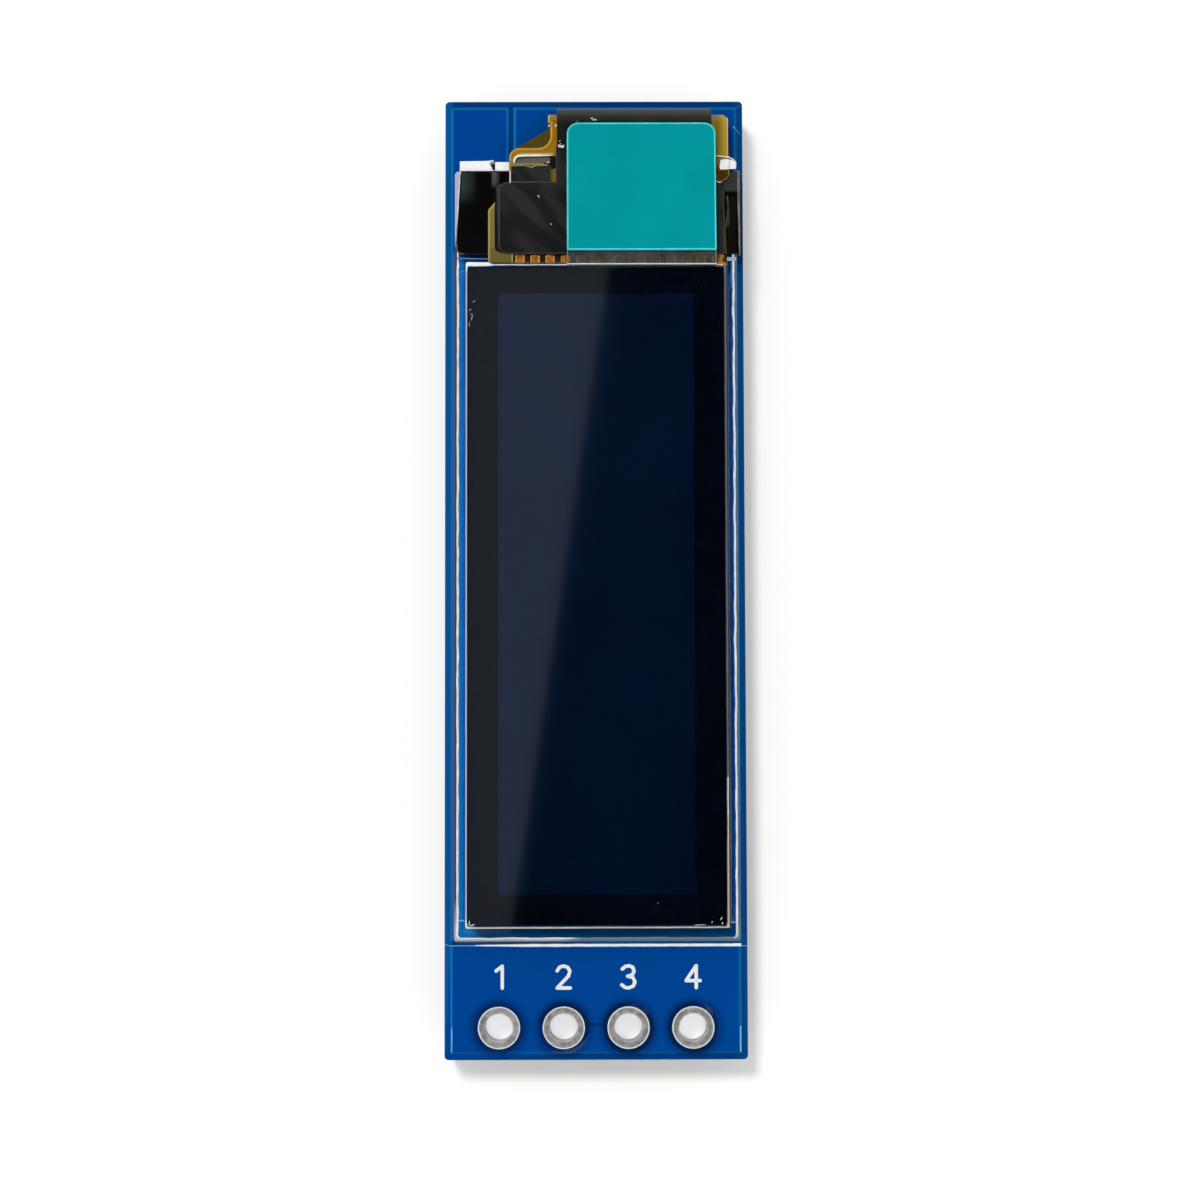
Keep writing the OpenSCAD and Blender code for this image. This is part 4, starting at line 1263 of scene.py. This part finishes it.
# the ledge film's right end: an olive crease runs down it and a pale grey strip along its outer
# edge is a painted highlight; below it one contact finger is bent aside
ledgeEndDetail = {
    "creaseHalf": 0.022, "creaseAbove": 0.012, "creaseThick": 0.01, "glintAbove": 0.008,
    "glintThick": 0.006, "fingerAbove": 0.05, "fingerThick": 0.02, "fingerRim": 0.02,
    "crease": ((5.295, 15.05), (5.321, 14.61), (5.303, 14.29), (5.241, 13.85), (5.143, 13.41),
               (5.046, 13.01), (4.98, 12.8)),
    "glint": ((5.69, 16.06), (5.8, 16.06), (5.8, 12.66), (5.75, 12.66), (5.745, 13.25),
              (5.725, 13.85), (5.695, 14.85)),
    "finger": ((5.09, 12.696), (5.15, 12.656), (5.12, 12.535), (5.06, 12.41), (5.129, 12.385),
               (5.207, 12.234), (5.068, 12.174), (4.83, 12.155), (4.85, 12.235), (4.95, 12.285),
               (4.87, 12.355), (4.931, 12.476))}


def makeLedgeEnd():
    top, detail = boxOf("ledge_film")[1].z, ledgeEndDetail
    # it thins towards its lower end
    halves = [detail["creaseHalf"] * (1.2 - 0.12 * i) for i in range(len(detail["crease"]))]
    piece = sheetPiece("ledgeCrease", [ribbon(detail["crease"], halves)],
                       top + detail["creaseAbove"], detail["creaseThick"], (oliveDark,), 0,
                       ledgeHeight)
    settle(piece, "ledge_black")
    piece = sheetPiece("ledgeGlint", [detail["glint"]], top + detail["glintAbove"],
                       detail["glintThick"], (greyEdgeHighlight,), 0, None,
                       [13.0 + 0.5 * i for i in range(7)])
    settle(piece, "ledge_black")
    piece = sheetPiece("bentFinger", [detail["finger"]],
                       boxOf("contact_leads")[1].z + detail["fingerAbove"],
                       detail["fingerThick"], (copper, copperHighlight), detail["fingerRim"])
    settle(piece, "copper")


makeLedgeEnd()


def makeBevelledCopies():
    for name, nodeName, material, width, slotName in (
            ("foamMiddle", "foam_middle", foamWhite, 0.03, "white_foam"),
            ("bondResin", "bond_resin", resin, 0.06, "clear_resin"),
            ("regulatorBody", "regulator_body", package, 0.03, "package"),
            ("diodeBody", "diode_body", package, 0.03, "package"),
            ("regulatorLeads", "regulator_leads", tinned, 0.025, "solder"),
            ("diodeLeads", "diode_leads", tinned, 0.025, "solder"),
            ("backSolder", "back_solder", solder, 0.02, "solder")):
        piece = pieceFrom(copyOf(nodeName), name, (material,))
        settle(bevelled(piece, width), slotName, nodeName)


makeBevelledCopies()


# left foam strip, torn off with barbs at its right end
def makeTornFoam():
    low, high = boxOf("foam_left")
    x0, x1, y0, y1 = low.x, high.x, low.y, high.y
    outline = [(x0, y0), (-5.02, y0 + 0.012), (-4.98, y0 + 0.04), (-4.94, y0), (-4.3, y0 + 0.01),
               (-4.07, y0 - 0.02), (x1 + 0.02, y0 + 0.04), (-4.11, y0 + 0.1), (-4.05, y0 + 0.16),
               (-4.1, y0 + 0.2), (-4.17, y0 + 0.33), (-4.06, y1 + 0.01), (x1, y1 + 0.04),
               (-4.02, y1 + 0.05), (-4.2, y1 + 0.02), (-4.6, y1 + 0.012), (x0, y1)]
    piece = sheetPiece("foamLeft", [outline], high.z, high.z - low.z, (foamWhite,))
    settle(bevelled(piece, 0.012), "white_foam", "foam_left")


makeTornFoam()


# rows of crowned bars, each a little different: the gold fingers, thin bright bars over them as
# painted highlights, and the cable's soldered tail
# (node, slot, count, pitch, middle, width, crown, lift, share of the node's depth, seed)
barRows = {
    "contactLeads": ("contact_leads", "copper", 14, 0.605, 0.98, 0.32, 0.045, 0.02, 1.0, 3),
    "contactGlints": ("contact_leads", "copper", 28, 0.3, 0.95, 0.085, 0.02, 0.065, 0.8, 11),
    "tailSolder": ("tail_solder", "solder", 14, 0.62, 1.01, 0.3, 0.035, 0.02, 1.0, 8),
}


def makeBars():
    tree, given = newTree("barRow", {
        "Count": "NodeSocketInt", "Pitch": "NodeSocketFloat", "Start": "NodeSocketVector",
        "Width": "NodeSocketFloat", "Crown": "NodeSocketFloat", "Length": "NodeSocketFloat",
        "Seed": "NodeSocketInt", "Material": "NodeSocketMaterial"})
    # a rod laid along Y and flattened
    rod = addNode(tree, "GeometryNodeMeshCylinder", links={
        "Vertices": 20, "Side Segments": 1, "Radius": 1.0, "Depth": 1.0})
    half = addNode(tree, "ShaderNodeMath", {"operation": "MULTIPLY"}, {0: given["Width"], 1: 0.5})
    size = addNode(tree, "ShaderNodeCombineXYZ", links={
        0: half, 1: given["Crown"], 2: given["Length"]})
    bar = addNode(tree, "GeometryNodeTransform", links={
        0: rod.outputs["Mesh"], "Rotation": (pi / 2, 0, 0), "Scale": size})
    step = addNode(tree, "ShaderNodeCombineXYZ", links={0: given["Pitch"]})
    row = addNode(tree, "GeometryNodeMeshLine", links={
        "Count": given["Count"], "Start Location": given["Start"], "Offset": step})
    uneven = addNode(tree, "FunctionNodeRandomValue", {"data_type": "FLOAT_VECTOR"}, {
        0: (0.6, 0.8, 0.75), 1: (1.1, 1.0, 1.2), "Seed": given["Seed"]})
    bars = addNode(tree, "GeometryNodeInstanceOnPoints", links={
        0: row, "Instance": bar, "Scale": uneven.outputs[0]})
    closeTree(tree, bars, given["Material"])
    finishes = {"contactLeads": copper, "contactGlints": copperHighlight, "tailSolder": solder}
    for name, row in barRows.items():
        nodeName, slotName, count, pitch, middle, width, crown, lift, share, seed = row
        low, high = boxOf(nodeName)
        piece = runTree(tree, name, {
            "Count": count, "Pitch": pitch * mm, "Seed": seed, "Material": finishes[name],
            "Start": ((middle - pitch * (count - 1) / 2) * mm, (low.y + high.y) / 2 * mm,
                      (low.z + lift) * mm),
            "Width": width * mm, "Crown": crown * mm, "Length": (high.y - low.y) * share * mm})
        replaced = () if name == "contactGlints" else (nodeName,)
        settle(piece, slotName, *replaced)


makeBars()


# brown film that bonds the cable's fingers to the glass
def makeBondFilm():
    low, high = boxOf("contact_leads")
    outline = [(low.x - 0.1, low.y + 0.005), (high.x + 0.08, low.y + 0.005),
               (high.x + 0.08, high.y), (low.x - 0.1, high.y)]
    piece = sheetPiece("bondFilm", [outline], low.z + 0.008, 0.006, (bondFilm,))
    settle(piece, "polyimide")


makeBondFilm()


# over the shoulder tape: an olive lip along the cable's edge, which sags to a point in its middle,
# and a pale strip on the cable's inner edge, a painted highlight
shoulderDetail = {
    "gap": 0.002, "lipAbove": 0.03, "edgeAbove": 0.02,
    "lip": ((-3.3, 16.31), (-2.75, 16.3), (-2.6, 16.27), (-2.48, 16.21), (-2.36, 16.28),
            (-2.2, 16.3), (-1.85, 16.3), (-1.85, 16.235), (-2.2, 16.235), (-2.36, 16.2),
            (-2.48, 16.14), (-2.62, 16.2), (-2.75, 16.235), (-3.3, 16.22)),
    "edge": ((-3.352, 15.56), (-3.318, 15.56), (-3.318, 16.04), (-3.352, 16.04))}


def makeShoulderLip():
    top = boxOf("shoulder_tape")[1].z
    for name, part, material in (("shoulderLip", "lip", oliveFilm),
                                 ("shoulderPaleEdge", "edge", dustAndHighlight)):
        above = shoulderDetail[part + "Above"]
        piece = sheetPiece(name, [shoulderDetail[part]], top + above,
                           above - shoulderDetail["gap"], (material,))
        settle(piece, "polyimide")


makeShoulderLip()


# specks and fibres by what they lie on: (x, y, length, width, turn in degrees); the last on the
# fold tape, the last two by the neck and both on the foot are painted highlights
specks = {
    "chip_tape": ((-2.23, 15.03, 0.05, 0.035, 20), (-2.19, 15.0, 0.09, 0.02, 70),
                  (-1.715, 13.9, 0.07, 0.04, -50), (-1.24, 16.99, 0.12, 0.05, 20)),
    "fold_tape": ((-0.67, 18.04, 0.04, 0.03, 0), (-0.08, 18.16, 0.12, 0.04, 10),
                  (0.06, 18.1, 0.1, 0.05, -20), (-0.02, 18.09, 0.16, 0.03, 5),
                  (-1.36, 17.24, 0.08, 0.03, 30)),
    "neck": ((-1.4, 17.06, 0.12, 0.05, 80), (-1.32, 17.02, 0.16, 0.07, 15),
             (-1.22, 17.04, 0.12, 0.06, 70), (-1.33, 17.12, 0.1, 0.03, 10),
             (-1.79, 17.86, 0.1, 0.05, 75), (-1.515, 17.86, 0.1, 0.06, 80)),
    "foot": ((4.9, 15.6, 0.1, 0.05, -30), (5.0, 15.57, 0.12, 0.045, 10)),
    "film": ((-4.92, -13.65, 0.2, 0.03, 85), (-4.8, -13.72, 0.22, 0.035, 15),
             (-4.9, 10.36, 0.1, 0.02, 60), (-4.83, 10.05, 0.34, 0.014, 72),
             (-4.93, 9.78, 0.2, 0.014, 100), (-4.75, 10.7, 0.14, 0.012, 40),
             (-4.86, 10.2, 0.12, 0.012, 20), (4.5, -13.63, 0.1, 0.02, 40),
             (4.86, -13.5, 0.16, 0.03, 60), (4.9, -13.68, 0.12, 0.03, 85),
             (4.03, -13.74, 0.5, 0.02, 2), (2.4, -12.9, 0.08, 0.02, 45)),
}
maskScratches = ((5.62, 17.98, 0.16, 0.03, -40), (5.77, 17.8, 0.3, 0.018, -55))


# adds a flattened ball lying at a level, and returns its vertices
def addSpeck(bm, mark, level, half):
    x, y, length, width, turn = mark
    place = Matrix.Translation((x, y, level)) @ Matrix.Rotation(
        radians(turn), 4, "Z") @ Matrix.Diagonal((length / 2, width / 2, half, 1))
    return bmesh.ops.create_icosphere(bm, subdivisions=2, radius=1, matrix=place)["verts"]


def makeSpecks():
    levels = {"chip_tape": boxOf("chip_tape")[1].z, "fold_tape": boxOf("fold_tape")[1].z,
              "neck": boxOf("chip_tape")[1].z, "foot": boxOf("liner_right")[1].z,
              "film": boxOf("polarizer")[1].z + filmDetail["thick"]}
    bm = bmesh.new()
    for where, marks in specks.items():
        for k, mark in enumerate(marks):
            for v in addSpeck(bm, mark, levels[where] + 0.004, 0.006):
                away = v.co.xy - Vector(mark[:2])
                v.co.xy += away * 0.35 * noise.noise(Vector((v.co.x * 30, v.co.y * 30, k)))
    piece = pieceFrom(bm, "dustSpecks", (dustAndHighlight,))
    settle(piece, "clear_film")
    bm = bmesh.new()
    boardTop = boxOf("circuit_board")[1].z
    for mark in maskScratches:
        addSpeck(bm, mark, boardTop + 0.002, 0.003)
    settle(pieceFrom(bm, "maskScratch", (inkPaleAndGlint,)), "solder_mask")


makeSpecks()
print("flex and tapes done")


# chip capacitors and resistors, in mm: length of an end cap, how far the body sits back from
# it, and the rounding of the edges
chipDetail = {"cap": 0.32, "step": 0.04, "round": 0.045}


def makeChipParts():
    tree, given = newTree("chipPart", {
        "Length": "NodeSocketFloat", "Width": "NodeSocketFloat", "Height": "NodeSocketFloat",
        "Cap": "NodeSocketFloat", "Step": "NodeSocketFloat", "Body": "NodeSocketMaterial",
        "Ends": "NodeSocketMaterial"})
    twice = addNode(tree, "ShaderNodeMath", {"operation": "MULTIPLY"}, {0: given["Cap"], 1: 2.0})
    bodySides = [addNode(tree, "ShaderNodeMath", {"operation": "SUBTRACT"}, {0: whole, 1: less})
                 for whole, less in ((given["Length"], twice), (given["Width"], given["Step"]),
                                     (given["Height"], given["Step"]))]
    bodySize = addNode(tree, "ShaderNodeCombineXYZ", links=dict(enumerate(bodySides)))
    body = addNode(tree, "GeometryNodeMeshCube", links={"Size": bodySize})
    body = addNode(tree, "GeometryNodeSetMaterial", links={0: body, "Material": given["Body"]})
    capSize = addNode(tree, "ShaderNodeCombineXYZ", links={
        0: given["Cap"], 1: given["Width"], 2: given["Height"]})
    cap = addNode(tree, "GeometryNodeMeshCube", links={"Size": capSize})
    cap = addNode(tree, "GeometryNodeSetMaterial", links={0: cap, "Material": given["Ends"]})
    apart = addNode(tree, "ShaderNodeMath", {"operation": "SUBTRACT"},
                    {0: given["Length"], 1: given["Cap"]})
    reach = addNode(tree, "ShaderNodeMath", {"operation": "MULTIPLY"}, {0: apart, 1: 0.5})
    places = [addNode(tree, "ShaderNodeMath", {"operation": "MULTIPLY"}, {0: reach, 1: times})
              for times in (-1.0, 2.0)]
    start, step = [addNode(tree, "ShaderNodeCombineXYZ", links={0: place}) for place in places]
    ends = addNode(tree, "GeometryNodeMeshLine", links={
        "Count": 2, "Start Location": start, "Offset": step})
    caps = addNode(tree, "GeometryNodeInstanceOnPoints", links={0: ends, "Instance": cap})
    whole = addNode(tree, "GeometryNodeJoinGeometry", links={0: body})
    tree.links.new(caps.outputs[0], whole.inputs[0])
    closeTree(tree, whole)
    for kind, slotName, bodyMaterial in (("capacitor", "capacitor_ceramic", ceramic),
                                         ("resistor", "resistor_ceramic", resistorBlack)):
        for nodeName in sorted(n for n in nodes if n.startswith(kind)):
            low, high = boxOf(nodeName)
            size, middle = high - low, (low + high) / 2
            alongX = size.x > size.y
            piece = runTree(tree, nodeName.replace("_", ""), {
                "Length": max(size.x, size.y) * mm, "Width": min(size.x, size.y) * mm,
                "Height": size.z * mm, "Cap": chipDetail["cap"] * mm,
                "Step": chipDetail["step"] * mm, "Body": bodyMaterial, "Ends": tinned},
                chipDetail["round"])
            turn = Matrix.Identity(4) if alongX else Matrix.Rotation(pi / 2, 4, "Z")
            piece.data.transform(Matrix.Translation(middle * mm) @ turn)
            settle(piece, slotName, nodeName)


makeChipParts()
print("back parts done")


# floor size in m and its gap in mm; glow that only the camera sees, and the stronger painted glow
# under the holes; world strength all round and straight above, with the angles in degrees between
# which it darkens; and the soft sun
stageDetail = {"floor": 4.0, "floorGap": 0.004, "ownGlow": 0.22, "glowBelowHoles": 0.6,
               "world": 0.8, "zenith": 0.0, "darkWithin": (30, 38), "sun": 1.5,
               "sunFrom": (-0.25, 0.4, 1.0), "sunAngle": 12}


def makeStage():
    bm = bmesh.new()
    half = stageDetail["floor"] / 2 / mm
    bm.faces.new([bm.verts.new((x * half, y * half, -stageDetail["floorGap"]))
                  for x, y in ((-1, -1), (1, -1), (1, 1), (-1, 1))])
    material, tree, shader = newMaterial("paperSweep", {
        "Base Color": (0.9, 0.9, 0.9, 1), "Roughness": 0.9, "Specular IOR Level": 0.0})
    # only the camera sees the paper glow, which keeps it white and its shadow soft; under the holes
    # the glow is stronger, a painted pool of light
    path = addNode(tree, "ShaderNodeLightPath")
    below = addNode(tree, "ShaderNodeMapRange", links={
        0: holeDistance(tree, millimetres(tree)[0]), 1: 0.4, 2: 1.0,
        3: stageDetail["glowBelowHoles"], 4: stageDetail["ownGlow"]})
    glow = addNode(tree, "ShaderNodeMath", {"operation": "MULTIPLY"},
                   {0: path.outputs["Is Camera Ray"], 1: below})
    tree.links.new(glow.outputs[0], shader.inputs["Emission Strength"])
    shader.inputs["Emission Color"].default_value = (1, 1, 1, 1)
    floor = pieceFrom(bm, "floor", (material,))
    sun = bpy.data.lights.new("key", "SUN")
    sun.energy = stageDetail["sun"]
    sun.angle = radians(stageDetail["sunAngle"])
    sunObject = bpy.data.objects.new("key", sun)
    sunObject.rotation_mode = "QUATERNION"
    sunObject.rotation_quaternion = Vector(stageDetail["sunFrom"]).to_track_quat("Z", "Y")
    # its glare is left out, as a polarizer on the lens does
    sunObject.visible_glossy = False
    bpy.context.scene.collection.objects.link(sunObject)
    world = bpy.data.worlds.new("studio")
    bpy.context.scene.world = world
    world.use_nodes = True
    tree = world.node_tree
    direction = addNode(tree, "ShaderNodeTexCoord")
    up = addNode(tree, "ShaderNodeSeparateXYZ", links={0: direction.outputs["Generated"]})
    # the ceiling straight above is dark, as over a copy stand
    inner, outer = stageDetail["darkWithin"]
    strength = addNode(tree, "ShaderNodeMapRange", links={
        0: up.outputs[2], 1: cos(radians(outer)), 2: cos(radians(inner)),
        3: stageDetail["world"], 4: stageDetail["zenith"]})
    path = addNode(tree, "ShaderNodeLightPath")
    seen = addNode(tree, "ShaderNodeMath", {"operation": "MAXIMUM"},
                   {0: strength, 1: path.outputs["Is Camera Ray"]})
    background = tree.nodes["Background"]
    background.inputs[0].default_value = (1, 1, 1, 1)
    tree.links.new(seen.outputs[0], background.inputs[1])


# a pale card hung above, whose slanting edge is mirrored down the display
cardDetail = {"height": 150, "top": (2.0, 39.69), "bottom": (-6.55, -17.43), "left": -11.3,
              "above": 40, "below": -21, "glow": 0.145}


def makeCard():
    (tx, ty), (bx, by) = cardDetail["top"], cardDetail["bottom"]
    slope = (tx - bx) / (ty - by)
    high, low = cardDetail["above"], cardDetail["below"]
    bm = bmesh.new()
    corners = ((cardDetail["left"], low), (bx + (low - by) * slope, low),
               (tx + (high - ty) * slope, high), (cardDetail["left"], high))
    bm.faces.new([bm.verts.new((x, y, cardDetail["height"])) for x, y in corners])
    material = bpy.data.materials.new("paleCard")
    material.use_nodes = True
    tree = material.node_tree
    glow = addNode(tree, "ShaderNodeEmission", links={"Strength": cardDetail["glow"]})
    tree.links.new(glow.outputs[0], tree.nodes["Material Output"].inputs[0])
    card = pieceFrom(bm, "reflectedCard", (material,))
    card.visible_camera = False
    card.visible_diffuse = False
    card.visible_shadow = False


makeStage()
makeCard()
print("stage done")

scene = bpy.context.scene
scene.view_settings.view_transform = "Standard"
